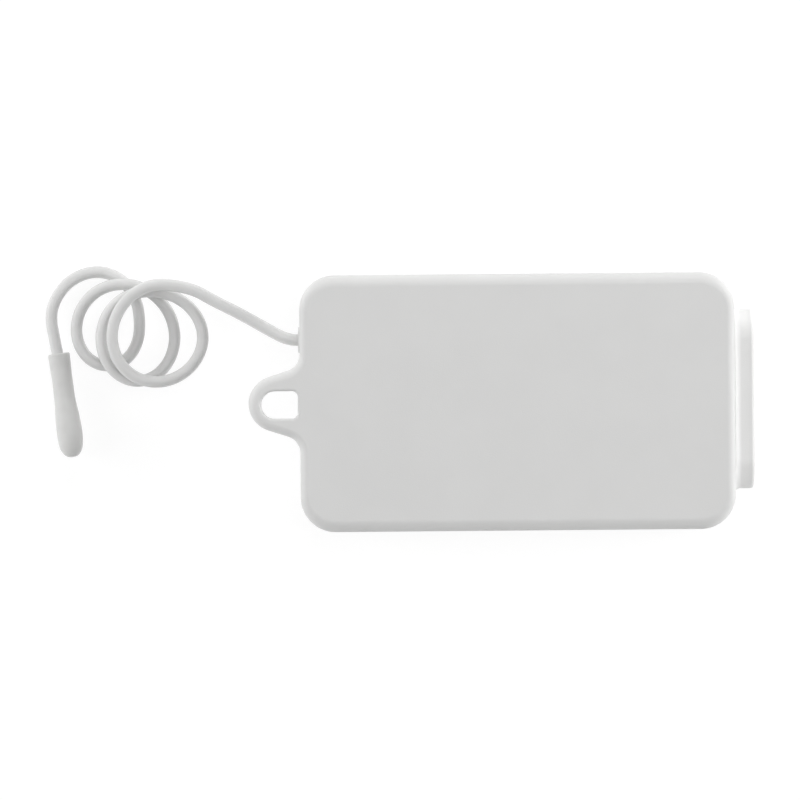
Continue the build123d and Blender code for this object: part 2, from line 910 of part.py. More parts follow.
def probe_plug():
    """The cable half of the sensor connector, pushed into the header."""
    height = header_height - 2 * header_wall - 2 * fit_gap
    width = header_width - 2 * header_wall - 2 * fit_gap
    low_x = plug_back_x()
    level = board_face - header_height / 2
    plug = block(
        (low_x, exit_offset - width / 2, level - height / 2),
        (low_x + plug_length, exit_offset + width / 2, level + height / 2),
    )
    plug = fillet(plug.edges().filter_by(Axis.X), header_wall / 2)
    for side in (-1, 1):
        hole = (
            low_x + plug_length - header_pin_length - overrun,
            exit_offset + side * plug_pitch / 2,
            level,
        )
        plug -= Pos(*hole) * Box(
            header_pin_length + 2 * overrun,
            leg_width + 2 * fit_gap,
            leg_width + 2 * fit_gap,
            align=(Align.MIN, Align.CENTER, Align.CENTER),
        )
    return plug


def probe_wires():
    """The two wires from the lead's end to the plug."""
    level = board_face - header_height / 2
    run = plug_back_x() - cable_end
    wires = []
    for side in (-1, 1):
        near = exit_offset + side * wire_spacing / 2
        far = exit_offset + side * plug_pitch / 2
        path = FilletPolyline(
            (cable_end, near, exit_height),
            (cable_end + run / 4, near, exit_height),
            (plug_back_x() - run / 4, far, level),
            (plug_back_x(), far, level),
            radius=2 * wire_radius,
        )
        wires.append(tube(path, wire_radius))
    return grouped(wires)


def tube(path, radius):
    """A round tube or wire swept along a path."""
    return sweep(Plane(path ^ 0) * Circle(radius), path=path)


def relay_cover():
    """The relay's box, open at the board."""
    cover = Box(relay_length, relay_width, relay_height, align=centred)
    cover = fillet(cover.edges().filter_by(Axis.Z), relay_cover_round)
    cover = fillet(cover.faces().sort_by(Axis.Z)[-1].edges(), relay_cover_round / 2)
    cover -= Pos(0, 0, -overrun) * Box(
        relay_length - 2 * relay_cover_wall,
        relay_width - 2 * relay_cover_wall,
        relay_height - relay_cover_wall + overrun,
        align=centred,
    )
    return hung(cover, relay_x, relay_y)


def relay_base():
    """The relay's foot, with the coil's two legs and slots for the other three."""
    base = Box(
        relay_length - 2 * relay_cover_wall - 2 * fit_gap,
        relay_width - 2 * relay_cover_wall - 2 * fit_gap,
        relay_base_thickness,
        align=centred,
    )
    for x, y in relay_common_leg + relay_open_leg + relay_closed_leg:
        base -= Pos(x, y, -overrun) * Box(
            yoke_thickness + 2 * fit_gap,
            blade_width + 2 * fit_gap,
            relay_base_thickness + 2 * overrun,
            align=centred,
        )
    return hung(with_legs(base, relay_coil_legs), relay_x, relay_y)


def coil_low():
    """The underside of the bobbin, on the yoke's foot."""
    return relay_base_thickness + yoke_thickness + coil_gap


def relay_bobbin():
    """The coil's spool."""
    low = coil_low()
    upper = low + coil_flange_thickness + coil_length
    spool = post(coil_x, 0, coil_flange_radius, low, low + coil_flange_thickness)
    spool += post(coil_x, 0, coil_flange_radius, upper, upper + coil_flange_thickness)
    spool += post(coil_x, 0, coil_tube_radius, low, upper)
    bore = core_radius + coil_gap
    spool -= post(coil_x, 0, bore, low - overrun, upper + coil_flange_thickness + overrun)
    return hung(spool, relay_x, relay_y)


def relay_winding():
    """The coil's wound wire, as one ring."""
    low = coil_low() + coil_flange_thickness + coil_gap
    high = coil_low() + coil_flange_thickness + coil_length - coil_gap
    ring = post(coil_x, 0, coil_wire_radius, low, high)
    ring -= post(coil_x, 0, coil_tube_radius + coil_gap, low - overrun, high + overrun)
    return hung(ring, relay_x, relay_y)


def relay_yoke():
    """The iron frame: a foot, a side arm up to the armature's edge, and the core."""
    foot_low = relay_base_thickness
    foot_high = foot_low + yoke_thickness
    pole_top = hinge_level - armature_gap
    half = yoke_width / 2
    yoke = block((yoke_back, -half, foot_low), (coil_x + core_radius, half, foot_high))
    yoke += block((yoke_back, -half, foot_low), (yoke_back + yoke_thickness, half, pole_top))
    yoke += post(coil_x, 0, core_radius, foot_high, pole_top)
    yoke += post(coil_x, 0, pole_face_radius, pole_top - pole_face_height, pole_top)
    leg_x, leg_y = relay_common_leg[0]
    tail = board_thickness + leg_tail
    yoke += Pos(leg_x, leg_y, -tail) * Box(
        leg_width, leg_width, tail + foot_high, align=centred
    )
    return hung(yoke, relay_x, relay_y)


def tilted(shape):
    """Lifts an armature part from the pole face to its rest position."""
    edge = Pos(yoke_back, 0, hinge_level)
    return edge * Rot(0, -armature_angle, 0) * edge.inverse() * shape


def relay_armature():
    """The iron plate that the coil pulls in, resting on the yoke's edge."""
    half = armature_width / 2
    plate = block(
        (yoke_back, -half, hinge_level),
        (yoke_back + armature_length, half, hinge_level + armature_thickness),
    )
    plate = fillet(plate.edges().filter_by(Axis.Z).group_by(Axis.X)[-1], rivet_radius)
    return hung(tilted(plate), relay_x, relay_y)


def relay_leaf():
    """The contact leaf, riveted on the armature, with a contact on each side."""
    low = hinge_level + armature_thickness
    high = low + leaf_thickness
    half = leaf_width / 2
    leaf = block((leaf_start, -half, low), (leaf_end, half, high))
    leaf += post(contact_x, 0, contact_radius, low - contact_height, high + contact_height)
    for step in (-1, 1):
        rivet_x = leaf_start + rivet_spacing + step * rivet_spacing / 2
        leaf += post(rivet_x, 0, rivet_radius, low, high + rivet_height)
    return hung(tilted(leaf), relay_x, relay_y)


def fixed_contact(side, face, up):
    """A fixed contact on a shelf: up is 1 for one that faces up and -1 for one that faces down."""
    shelf_face = face - up * contact_height
    shelf_back = shelf_face - up * blade_thickness
    low, high = sorted((shelf_face, shelf_back))
    centre = side * blade_offset
    far = centre + side * blade_width / 2
    inner = -side * contact_radius
    shelf = block(
        (contact_x - contact_radius, min(far, inner), low),
        (blade_x + blade_thickness / 2, max(far, inner), high),
    )
    blade = block(
        (blade_x - blade_thickness / 2, centre - blade_width / 2, leg_root),
        (blade_x + blade_thickness / 2, centre + blade_width / 2, high),
    )
    low, high = sorted((face, shelf_face))
    button = post(contact_x, 0, contact_radius, low, high)
    tail = board_thickness + leg_tail
    leg = Pos(blade_x, centre, -tail) * Box(leg_width, leg_width, tail + 2 * leg_root, align=centred)
    return hung(shelf + blade + button + leg, relay_x, relay_y)


def open_contact_face():
    """The face that the leaf meets when the armature is pulled in."""
    return hinge_level + armature_thickness - contact_height - armature_gap


def closed_contact_face():
    """The face that the leaf rests near when the armature is released."""
    lift = (contact_x + contact_radius - yoke_back) * math.sin(math.radians(armature_angle))
    top = hinge_level + armature_thickness + leaf_thickness + contact_height
    return top + lift + armature_gap


def transformer_base():
    """The transformer's foot with its four legs."""
    base = Box(
        transformer_base_length,
        transformer_base_width,
        transformer_base_thickness,
        align=centred,
    )
    return hung(with_legs(base, transformer_legs), transformer_x, transformer_y)


def window_places():
    """The two windows of the core, as low and high places along X."""
    inner = centre_limb / 2
    outer = core_length / 2 - core_limb
    return [(-outer, -inner), (inner, outer)]


def transformer_core():
    """The ferrite core, with a window on each side of its middle limb."""
    low = transformer_base_thickness
    core = Pos(0, 0, low) * Box(core_length, core_width, core_height, align=centred)
    for near, far in window_places():
        core -= block(
            (near, -core_width / 2 - overrun, low + core_yoke),
            (far, core_width / 2 + overrun, low + core_height - core_yoke),
        )
    return hung(core, transformer_x, transformer_y)


def transformer_winding():
    """The taped winding round the core's middle limb."""
    low = transformer_base_thickness + core_yoke + winding_gap
    high = transformer_base_thickness + core_height - core_yoke - winding_gap
    outline = RectangleRounded(winding_length, winding_width, winding_round)
    winding = Pos(0, 0, low) * extrude(outline, high - low)
    half_x = centre_limb / 2 + winding_gap
    half_y = core_width / 2 + winding_gap
    winding -= block((-half_x, -half_y, low - overrun), (half_x, half_y, high + overrun))
    return hung(winding, transformer_x, transformer_y)


def bulk_capacitor(x, y):
    """A round capacitor with a rolled groove near its foot."""
    can = post(0, 0, bulk_radius, 0, bulk_height)
    can = fillet(can.edges().sort_by(Axis.Z)[-1], bulk_round)
    ring = post(0, 0, bulk_radius + overrun, bulk_groove_height, bulk_groove_height + bulk_round)
    ring -= post(
        0, 0, bulk_radius - bulk_groove_depth, 0, bulk_groove_height + bulk_round + overrun
    )
    return hung(with_legs(can - ring, pair(bulk_leg_pitch)), x, y)


def film_capacitor():
    """A boxed film capacitor."""
    body = Box(film_length, film_width, film_height, align=centred)
    body = fillet(body.edges().filter_by(Axis.Z), film_round)
    body = fillet(body.faces().sort_by(Axis.Z)[-1].edges(), film_round / 2)
    return hung(with_legs(body, pair(film_leg_pitch)), film_x, film_y)


def varistor():
    """A dipped disc that stands on two bent legs."""
    disc = Plane.XZ * Cylinder(disc_radius, disc_thickness)
    disc = fillet(disc.edges().filter_by(GeomType.CIRCLE), disc_round)
    body = Pos(0, 0, disc_lift + disc_radius) * disc
    foot = -(board_thickness + leg_tail)
    for x, y in pair(disc_leg_pitch):
        body += Pos(x, y, foot) * Box(
            leg_width, leg_width, disc_lift + disc_radius - foot, align=centred
        )
    return hung(body, disc_x, disc_y)


def fuse():
    """A cartridge fuse lying on the board, with a leg from each cap."""
    level = fuse_cap_radius
    start = -fuse_length / 2
    body = along(start, 0, level, fuse_radius, fuse_length)
    for cap_x in (start, -start - fuse_cap_length):
        body += along(cap_x, 0, level, fuse_cap_radius, fuse_cap_length)
    return hung(with_legs(body, pair(fuse_leg_pitch)), fuse_x, fuse_y)


def bridge_rectifier():
    """The four-legged rectifier."""
    body = Box(bridge_length, bridge_width, bridge_height, align=centred)
    body = chamfer(body.faces().sort_by(Axis.Z)[-1].edges(), leg_width)
    return hung(with_legs(body, bridge_legs), bridge_x, bridge_y)


def voltage_regulator():
    """The regulator, flat on the board, with its cooling tab."""
    body = Box(regulator_length, regulator_width, regulator_height, align=centred)
    body = chamfer(body.faces().sort_by(Axis.Z)[-1].edges(), regulator_tab_thickness)
    tab_x = -regulator_length / 2 - regulator_tab_reach
    half = regulator_tab_width / 2
    body += block((tab_x, -half, 0), (0, half, regulator_tab_thickness))
    return hung(body, regulator_x, regulator_y)


def wifi_board():
    """The radio module's own board, flat on the circuit board."""
    return hung(Box(radio_length, radio_width, radio_thickness, align=centred), radio_x, radio_y)


def wifi_shield():
    """The pressed tin lid over the radio chip."""
    lid = Box(shield_length, shield_width, shield_height, align=centred)
    lid = fillet(lid.edges().filter_by(Axis.Z), shield_round)
    lid = fillet(lid.faces().sort_by(Axis.Z)[-1].edges(), shield_round)
    lid -= Pos(0, 0, -overrun) * Box(
        shield_length - 2 * shield_wall,
        shield_width - 2 * shield_wall,
        shield_height - shield_wall + overrun,
        align=centred,
    )
    return hung(Pos(shield_offset, 0, radio_thickness) * lid, radio_x, radio_y)


def wifi_chip():
    """The radio chip under the lid."""
    chip = Box(chip_side, chip_side, chip_height, align=centred)
    return hung(Pos(shield_offset, 0, radio_thickness) * chip, radio_x, radio_y)


def wifi_antenna():
    """The folded aerial at the module's outer end."""
    reach = antenna_pitch * 2 * antenna_turns
    left = -radio_length / 2 + antenna_edge
    track = block(
        (left, -reach / 2, 0), (left + antenna_depth, -reach / 2 + antenna_width, antenna_thickness)
    )
    for n in range(2 * antenna_turns):
        start = -reach / 2 + n * antenna_pitch
        end = start + antenna_pitch + antenna_width
        across_x = left if n % 2 == 0 else left + antenna_depth - antenna_width
        track += block((across_x, start, 0), (across_x + antenna_width, end, antenna_thickness))
        track += block(
            (left, end - antenna_width, 0), (left + antenna_depth, end, antenna_thickness)
        )
    return hung(Pos(0, 0, radio_thickness) * track, radio_x, radio_y)


def small_parts():
    """Chip resistors and capacitors in rows."""
    chips = []
    for row in range(chip_row_count):
        for column in range(chip_column_count):
            chip = Box(chip_part_width, chip_part_length, chip_part_height, align=centred)
            x = chip_part_x + column * chip_part_pitch
            y = chip_part_y + row * chip_part_pitch
            chips.append(hung(chip, x, y))
    return grouped(chips)


def level_at(knots, turn):
    """Reads a value between the turns at which it is given."""
    low, high = knots[0], knots[1]
    for a, b in zip(knots, knots[1:]):
        if turn >= a[0]:
            low, high = a, b
    share = (turn - low[0]) / (high[0] - low[0])
    return low[1] + share * (high[1] - low[1])


def loop_point(turn):
    """A point of the loose loops, counted in turns from the back of the first one."""
    left = level_at(loop_left, turn)
    right = level_at(loop_right, turn)
    back = level_at(loop_back, turn)
    front = level_at(loop_front, turn)
    angle = math.radians(90 + 360 * turn)
    x = (left + right) / 2 + (right - left) / 2 * math.cos(angle)
    y = (back + front) / 2 + (back - front) / 2 * math.sin(angle)
    return Vector(x, y, level_at(loop_level, turn))


def loop_direction(turn):
    """The way that the lead runs at a turn."""
    step_share = 0.02
    return (loop_point(turn + step_share) - loop_point(turn - step_share)).normalized()


def biarc(start, start_way, end, end_way):
    """Two arcs that leave and arrive in given directions and meet smoothly."""
    chord = end - start
    ways = start_way + end_way
    across_chord = chord.dot(ways)
    bend = 2 * (1 - start_way.dot(end_way))
    reach = (-across_chord + math.sqrt(across_chord**2 + bend * chord.dot(chord))) / bend
    first = start + start_way * reach
    last = end - end_way * reach
    middle = (first + last) * 0.5
    return [
        Edge.make_tangent_arc(start, start_way, middle),
        Edge.make_tangent_arc(middle, (last - first).normalized(), end),
    ]


def loop_turns():
    """The turns at which the biarcs meet: the ends, and each quarter between them."""
    quarters = [n / 4 for n in range(1, round(loop_last_turn * 4))]
    return [loop_first_turn] + quarters + [loop_last_turn]


def probe_way():
    """The direction of the probe's axis, away from the lead."""
    angle = math.radians(probe_angle)
    return Vector(math.cos(angle), math.sin(angle), 0)


def coil_edges():
    """The loops' path: a short straight run, the biarcs, and the run into the probe."""
    turns = loop_turns()
    points = [loop_point(turn) for turn in turns]
    points.append(probe_mouth() - probe_way() * probe_run)
    ways = [loop_direction(turn) for turn in turns]
    ways.append(probe_way())
    edges = [Edge.make_line(points[0] - ways[0] * loop_stub, points[0])]
    for n in range(len(turns)):
        edges += biarc(points[n], ways[n], points[n + 1], ways[n + 1])
    edges.append(Edge.make_line(points[-1], probe_mouth() + probe_way() * probe_cable_depth))
    return edges


def probe_mouth():
    """The centre of the probe's open end."""
    return Vector(probe_x, probe_y, probe_level)


def cable_coil():
    """The three loose loops and the run into the probe, as one unbroken tube."""
    edges = coil_edges()
    path = Wire(edges)
    coil = sweep(Plane(edges[0] ^ 0) * Circle(cable_radius), path=path)
    check_tube("cable_coil", coil, path.length)
    print("cable_coil least gap to itself", round(least_gap(path), 3))
    radii = [round(edge.radius, 2) for edge in edges[1:-1]]
    print("cable_coil arc radii", radii)
    return coil


def least_gap(path):
    """The least clear space between two stretches of a tube that are not neighbours."""
    count = 500
    step = path.length / count
    points = [path.position_at(n / count) for n in range(count + 1)]
    skip = math.ceil(4 * math.pi * cable_radius / step)
    least = path.length
    for n, point in enumerate(points):
        for other in points[n + skip :]:
            least = min(least, (point - other).length)
    return least - 2 * cable_radius


def corner_radii(points):
    """For each corner of a route, as large an arc as its two runs allow."""
    arc_share = 0.45
    radii = []
    for before, here, after in zip(points, points[1:], points[2:]):
        arriving = here - before
        leaving = after - here
        turn = math.radians(arriving.get_angle(leaving))
        shorter = min(arriving.length, leaving.length)
        radii.append(arc_share * shorter / math.tan(turn / 2))
    return radii


def cable_lead():
    """The free lead from the grommet to the first loop."""
    first_way = loop_direction(loop_first_turn)
    end = loop_point(loop_first_turn) - first_way * loop_stub
    corner = end - first_way * lead_last_run
    points = [Vector(*place) for place in lead_route] + [corner, end]
    radii = corner_radii(points)
    print("cable_lead radii", [round(radius, 1) for radius in radii])
    path = FilletPolyline(*points, radius=radii)
    lead = tube(path, cable_radius)
    check_tube("cable_lead", lead, path.length)
    return lead


def check_tube(name, solid, length):
    """Prints a tube's length, and its volume as a share of its section times its length."""
    section = math.pi * cable_radius**2
    share = solid.volume / (section * length)
    print(name, "length", round(length, 1), "volume share", round(share, 4))


def probe_axis(depth):
    """A plane square to the probe's axis, at a depth from its mouth."""
    return Plane(origin=probe_mouth() + probe_way() * depth, z_dir=probe_way())


def probe_jacket():
    """The dipped sleeve: a thin open mouth, a waist, a long bulb and a blunt tip."""
    rim = probe_mouth_radius
    waist = probe_waist_radius
    bulb = probe_bulb_radius
    neck_middle = probe_waist_place / 2
    swell_middle = (probe_waist_place + probe_bulb_place) / 2
    nose = probe_bulb_place + nose_share * (probe_length - probe_bulb_place)
    tip = (probe_tip_radius, probe_length)
    profile = [
        Line((0, 0), (rim, 0)),
        Bezier((rim, 0), (rim, neck_middle), (waist, neck_middle), (waist, probe_waist_place)),
        Bezier(
            (waist, probe_waist_place),
            (waist, swell_middle),
            (bulb, swell_middle),
            (bulb, probe_bulb_place),
        ),
        Bezier((bulb, probe_bulb_place), (bulb, nose), (bulb, probe_length), tip),
        Line(tip, (0, probe_length)),
        Line((0, probe_length), (0, 0)),
    ]
    section = Plane.XZ * make_face(Curve() + profile)
    jacket = revolve(section, Axis.Z)
    bore = cable_radius + probe_bore_gap
    jacket -= Cone(rim - probe_mouth_wall, bore, probe_mouth_depth, align=centred)
    jacket -= Cylinder(bore, probe_cable_depth + bead_gap, align=centred)
    jacket -= Cylinder(bead_radius + bead_gap, bead_depth + bead_length / 2, align=centred)
    return probe_axis(0) * jacket


def thermistor():
    """The sensing bead and its two wires, in the sleeve's bore."""
    straight = bead_length / 2 - bead_radius
    bead = Pos(0, 0, bead_depth) * Cylinder(bead_radius, 2 * straight)
    for end in (-straight, straight):
        bead += Pos(0, 0, bead_depth + end) * Sphere(bead_radius)
    for side in (-1, 1):
        wire_x = side * bead_wire_spacing / 2
        bead += post(wire_x, 0, bead_wire_radius, probe_cable_depth, bead_depth)
    return probe_axis(0) * bead


def nodes():
    """Every piece, by its node's name."""
    made = {
        "back_shell": back_shell(),
        "front_shell": front_shell(),
        "housing_screws": grouped([housing_screw(x, y) for x, y in corners]),
        "terminal_collar": terminal_collar(),
        "cable_grommet": cable_grommet(),
        "inner_cable": inner_cable(),
        "probe_wires": probe_wires(),
        "probe_plug": probe_plug(),
        "probe_header": probe_header(),
        "circuit_board": circuit_board(),
        "terminal_body": terminal_body(),
        "terminal_bars": grouped([terminal_bar(y) for y in poles]),
        "button_cap": button_cap(),
        "tact_switch": tact_switch(),
        "tact_plunger": tact_plunger(),
        "light_pipe": light_pipe(),
        "status_led": status_led(),
        "relay_cover": relay_cover(),
        "relay_base": relay_base(),
        "relay_bobbin": relay_bobbin(),
        "relay_winding": relay_winding(),
        "relay_yoke": relay_yoke(),
        "relay_armature": relay_armature(),
        "relay_leaf": relay_leaf(),
        "relay_contact_open": fixed_contact(-1, open_contact_face(), 1),
        "relay_contact_closed": fixed_contact(1, closed_contact_face(), -1),
        "transformer_base": transformer_base(),
        "transformer_core": transformer_core(),
        "transformer_winding": transformer_winding(),
        "bulk_capacitors": grouped([bulk_capacitor(x, y) for x, y in bulk_places]),
        "film_capacitor": film_capacitor(),
        "varistor": varistor(),
        "fuse": fuse(),
        "bridge_rectifier": bridge_rectifier(),
        "voltage_regulator": voltage_regulator(),
        "wifi_board": wifi_board(),
        "wifi_shield": wifi_shield(),
        "wifi_chip": wifi_chip(),
        "wifi_antenna": wifi_antenna(),
        "small_parts": small_parts(),
        "cable_lead": cable_lead(),
        "cable_coil": cable_coil(),
        "probe_jacket": probe_jacket(),
        "thermistor": thermistor(),
    }
    for n, y in enumerate(poles, start=1):
        made[f"terminal_screw_{n}"] = terminal_screw(y)
        made[f"terminal_cage_{n}"] = terminal_cage(y)
    return made


os.makedirs("parts", exist_ok=True)
for name, shape in nodes().items():
    export_step(shape, f"parts/{name}.step")
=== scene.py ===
import json
import math

import bpy
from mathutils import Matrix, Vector


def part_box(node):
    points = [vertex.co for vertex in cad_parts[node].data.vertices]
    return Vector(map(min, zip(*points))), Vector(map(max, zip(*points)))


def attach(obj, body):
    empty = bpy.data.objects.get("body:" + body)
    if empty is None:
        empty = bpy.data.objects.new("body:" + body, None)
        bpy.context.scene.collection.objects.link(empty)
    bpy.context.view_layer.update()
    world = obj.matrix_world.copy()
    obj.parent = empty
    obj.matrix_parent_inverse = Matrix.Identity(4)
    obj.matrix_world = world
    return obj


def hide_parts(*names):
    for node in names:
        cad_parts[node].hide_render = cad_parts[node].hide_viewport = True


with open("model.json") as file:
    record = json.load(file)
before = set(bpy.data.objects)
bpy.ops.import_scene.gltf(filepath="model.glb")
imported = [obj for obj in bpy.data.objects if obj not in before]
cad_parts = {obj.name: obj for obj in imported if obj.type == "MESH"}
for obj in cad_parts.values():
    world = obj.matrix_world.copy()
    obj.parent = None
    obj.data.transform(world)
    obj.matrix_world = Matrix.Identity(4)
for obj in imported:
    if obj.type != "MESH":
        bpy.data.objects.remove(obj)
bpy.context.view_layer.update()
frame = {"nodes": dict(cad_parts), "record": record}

# The switch lies on its front face. Everything is in metres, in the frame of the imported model:
# +X runs along the case to the wire entries, +Y across it and +Z from its front to its back.
MM = 0.001

# Points nearer than this are one point
MERGE_NEAR = 0.001 * MM

# The camera looks straight down on the back face, turned a little about its own axis
CAMERA_X = -23.54 * MM
CAMERA_Y = 0.645 * MM
CAMERA_HEIGHT = 1024 * MM
CAMERA_TURN = -0.5
CAMERA_LENS = 225
CAMERA_SENSOR = 36

# A pale table, faint light from all round, and soft square lamps: name, place and power in watts
FLOOR_WIDTH = 1.2
FLOOR_LEVEL = -0.03 * MM
FLOOR_COLOUR = (0.92, 0.92, 0.92)
FLOOR_WHITE_SHARE = 0.8
FLOOR_WHITE = 1.09
SKY_STRENGTH = 0.15
LAMP_WIDTH = 0.45
LAMP_TARGET = (0, 0, 0.012)
LAMPS = (
    ("lamp_right", (0.68, 0.06, 0.19), 3.75),
    ("lamp_far", (-0.02, 0.68, 0.19), 2.6),
    ("lamp_left", (-0.70, 0.02, 0.19), 3.15),
    ("lamp_near", (0, -0.70, 0.19), 0.75),
    ("lamp_above", (0.10, 0.06, 0.80), 1.95),
)

# The probe lead: its route from the case to the first loop, then the loops' far edges by turn
CABLE_RADIUS = 1.2 * MM
CABLE_BEVEL_STEPS = 6
CABLE_RUN_STEPS = 8
LEAD_ROUTE = (
    (-0.04405, 0.01295, 0.0120),
    (-0.0462, 0.01295, 0.0120),
    (-0.0504, 0.0153, 0.0119),
    (-0.0560, 0.0185, 0.01165),
    (-0.0610, 0.0210, 0.01145),
)
LEAD_LAST_RUN = 5.4 * MM
LOOP_LEFT = ((0, -0.0810), (0.25, -0.0820), (1.25, -0.0843), (2.25, -0.08955), (3.25, -0.09485))
LOOP_RIGHT = ((0, -0.0633), (0.75, -0.0632), (1.75, -0.0692), (2.75, -0.0766), (3.25, -0.0760))
LOOP_BACK = ((0, 0.0246), (1, 0.0233), (2, 0.0249), (3, 0.0275))
LOOP_FRONT = ((0.5, 0.00455), (1.5, 0.00475), (2.5, 0.00805), (3.25, 0.0085))
LOOP_LEVEL = (
    (0, 0.0110), (1, 0.0078), (2, 0.0046), (2.95, 0.0013), (3.1, 0.0014), (3.25, 0.0023)
)
LOOP_FIRST_TURN = -0.03
LOOP_LAST_TURN = 3.25
LOOP_WAY_STEP = 0.02
POINTS_A_TURN = 16
LEAD_SIDES = 40
LEAD_END_ROUND = 0.2 * MM
LEAD_END_STEPS = 3
LEAD_END_SMOOTH = 40

# The dipped probe on its end, and how the lead runs into it
PROBE_MOUTH = (-0.0932, 0.0108, 0.0027)
PROBE_ANGLE = -82.65
PROBE_RUN = 2.6 * MM
PROBE_CABLE_DEPTH = 4.0 * MM
LEAD_SIDE_STEP = (-0.4 * MM, 0, 0)

# The probe's outline from inside its mouth to its tip: distance from the mouth and radius, in mm
PROBE_PROFILE = (
    (3.0, 1.22), (2.9, 1.3), (0.9, 1.5), (0.25, 1.75), (0.02, 1.98), (0.1, 2.2), (0.45, 2.27),
    (1.4, 2.22), (4.2, 2.12), (7.1, 2.08), (9.5, 2.16), (12.2, 2.42), (15.0, 2.63),
    (16.6, 2.66), (18.2, 2.58), (19.6, 2.32), (20.6, 1.82), (21.2, 1.15), (21.4, 0.5),
)
PROBE_SIDES = 40
PROBE_SMOOTH = 60
PROBE_LEVELS = 2
PROBE_SAG = 0.16 * MM
PROBE_SAG_SIZE = 3.5 * MM

# Where a finish changes on a piece
WIRE_SPLIT = 12.95 * MM
CAN_END = 6.15 * MM
CAN_MIDDLES = (-2.6 * MM, -9.2 * MM)
CAN_STRIPE_HALF = 1.1 * MM
FUSE_MIDDLE = 17.2 * MM
FUSE_TUBE_HALF = 3.2 * MM
CHIP_ROW_MIDDLE = 2.0 * MM
CHIP_ROW_PITCH = 3.0 * MM
CHIP_BODY_HALF = 0.65 * MM

# The boards' pattern: how far tracks, copper islands and pads reach in their cells, the pads'
# pitch in mm, and how much lighter the mask is over copper
TRACK_HALF = 0.045
ISLAND_REACH = 0.42
PAD_REACH = 0.17
PAD_PITCH = 2.54
COPPER_LIFT = 1.7

# Tin on the boards' pads, and on the shield and the small parts' ends
TINNED_PAD = (0.72, 0.71, 0.68)
TINNED_END = (0.72, 0.71, 0.69)

# Blender's own numbers: the colour sockets of its Mix node, how far apart the bands of its wave
# texture lie at a scale of 1, and the weight that leaves the faces' sizes as they are
MIX_UNDER = 6
MIX_OVER = 7
MIX_RESULT = 2
BAND_REPEAT = math.pi / 10
NEUTRAL_WEIGHT = 50

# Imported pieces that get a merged, smoothly shaded surface of their own. Faces that meet at more
# than SMOOTH_ANGLE degrees keep a sharp edge between them.
SMOOTH_ANGLE = 35
ROUNDED_PIECES = (
    "back_shell", "front_shell", "terminal_collar", "cable_grommet", "housing_screws",
    "button_cap", "light_pipe", "status_led", "tact_plunger", "tact_switch", "terminal_body",
    "terminal_bars", "terminal_screw_1", "terminal_screw_2", "terminal_screw_3",
    "terminal_screw_4", "terminal_cage_1", "terminal_cage_2", "terminal_cage_3",
    "terminal_cage_4", "probe_wires", "thermistor", "probe_header", "probe_plug", "relay_cover",
    "relay_winding", "relay_leaf", "transformer_winding", "bulk_capacitors", "varistor", "fuse",
)
# Those of them whose flat faces stay flat beside their roundings, and how square to an axis of
# the part such a face is
FLAT_SIDED = ("back_shell", "front_shell", "terminal_collar", "button_cap", "terminal_body")
FLAT_SHARE = 0.99999

# The rounding round the back face, wider along its two long edges
CORNER_RADIUS = 7 * MM
EDGE_ROUND = 1.7 * MM
LONG_EDGE_ROUND = 2.4 * MM
EDGE_NEAR = 0.01 * MM

# Each node's material slot and body
SLOTS = {row["node"]: row["material_slot"] for row in frame["record"]["subparts"]}
BODIES = {
    node: body
    for body, nodes in frame["record"]["behaviour"]["bodies"].items()
    for node in nodes
}


def level_at(knots, turn):
    """Reads a value between the turns at which it is given."""
    low, high = knots[0], knots[1]
    for a, b in zip(knots, knots[1:]):
        if turn >= a[0]:
            low, high = a, b
    share = (turn - low[0]) / (high[0] - low[0])
    return low[1] + share * (high[1] - low[1])


def loop_point(turn):
    """A point of the loose loops, counted in turns from the back of the first one."""
    left, right = level_at(LOOP_LEFT, turn), level_at(LOOP_RIGHT, turn)
    back, front = level_at(LOOP_BACK, turn), level_at(LOOP_FRONT, turn)
    angle = math.radians(90 + 360 * turn)
    x = (left + right) / 2 + (right - left) / 2 * math.cos(angle)
    y = (back + front) / 2 + (back - front) / 2 * math.sin(angle)
    return Vector((x, y, level_at(LOOP_LEVEL, turn)))


def loop_way(turn):
    """The way that the lead runs at a turn."""
    return (loop_point(turn + LOOP_WAY_STEP) - loop_point(turn - LOOP_WAY_STEP)).normalized()


def probe_way():
    """The direction of the probe's axis, away from the lead."""
    angle = math.radians(PROBE_ANGLE)
    return Vector((math.cos(angle), math.sin(angle), 0))


def lead_points():
    """The whole lead's route: its run to the loops, the loops, and its run into the probe."""
    points = [Vector(place) for place in LEAD_ROUTE]
    start = loop_point(LOOP_FIRST_TURN)
    points.append(start - loop_way(LOOP_FIRST_TURN) * LEAD_LAST_RUN)
    turns = LOOP_LAST_TURN - LOOP_FIRST_TURN
    steps = round(turns * POINTS_A_TURN)
    for n in range(steps + 1):
        points.append(loop_point(LOOP_FIRST_TURN + n / steps * turns))
    points.append(Vector(PROBE_MOUTH) - probe_way() * PROBE_RUN + Vector(LEAD_SIDE_STEP))
    points.append(Vector(PROBE_MOUTH) + probe_way() * PROBE_CABLE_DEPTH)
    return points


def make_lead():
    """The lead as one smooth round cable."""
    curve = bpy.data.curves.new("probe_lead", "CURVE")
    curve.dimensions = "3D"
    curve.bevel_depth = CABLE_RADIUS
    curve.bevel_resolution = CABLE_BEVEL_STEPS
    curve.resolution_u = CABLE_RUN_STEPS
    curve.use_fill_caps = True
    points = lead_points()
    spline = curve.splines.new("NURBS")
    spline.points.add(len(points) - 1)
    for knot, point in zip(spline.points, points):
        knot.co = (*point, 1)
    spline.order_u = 3
    spline.use_endpoint_u = True
    lead = bpy.data.objects.new("probe_lead", curve)
    bpy.context.scene.collection.objects.link(lead)
    return lead


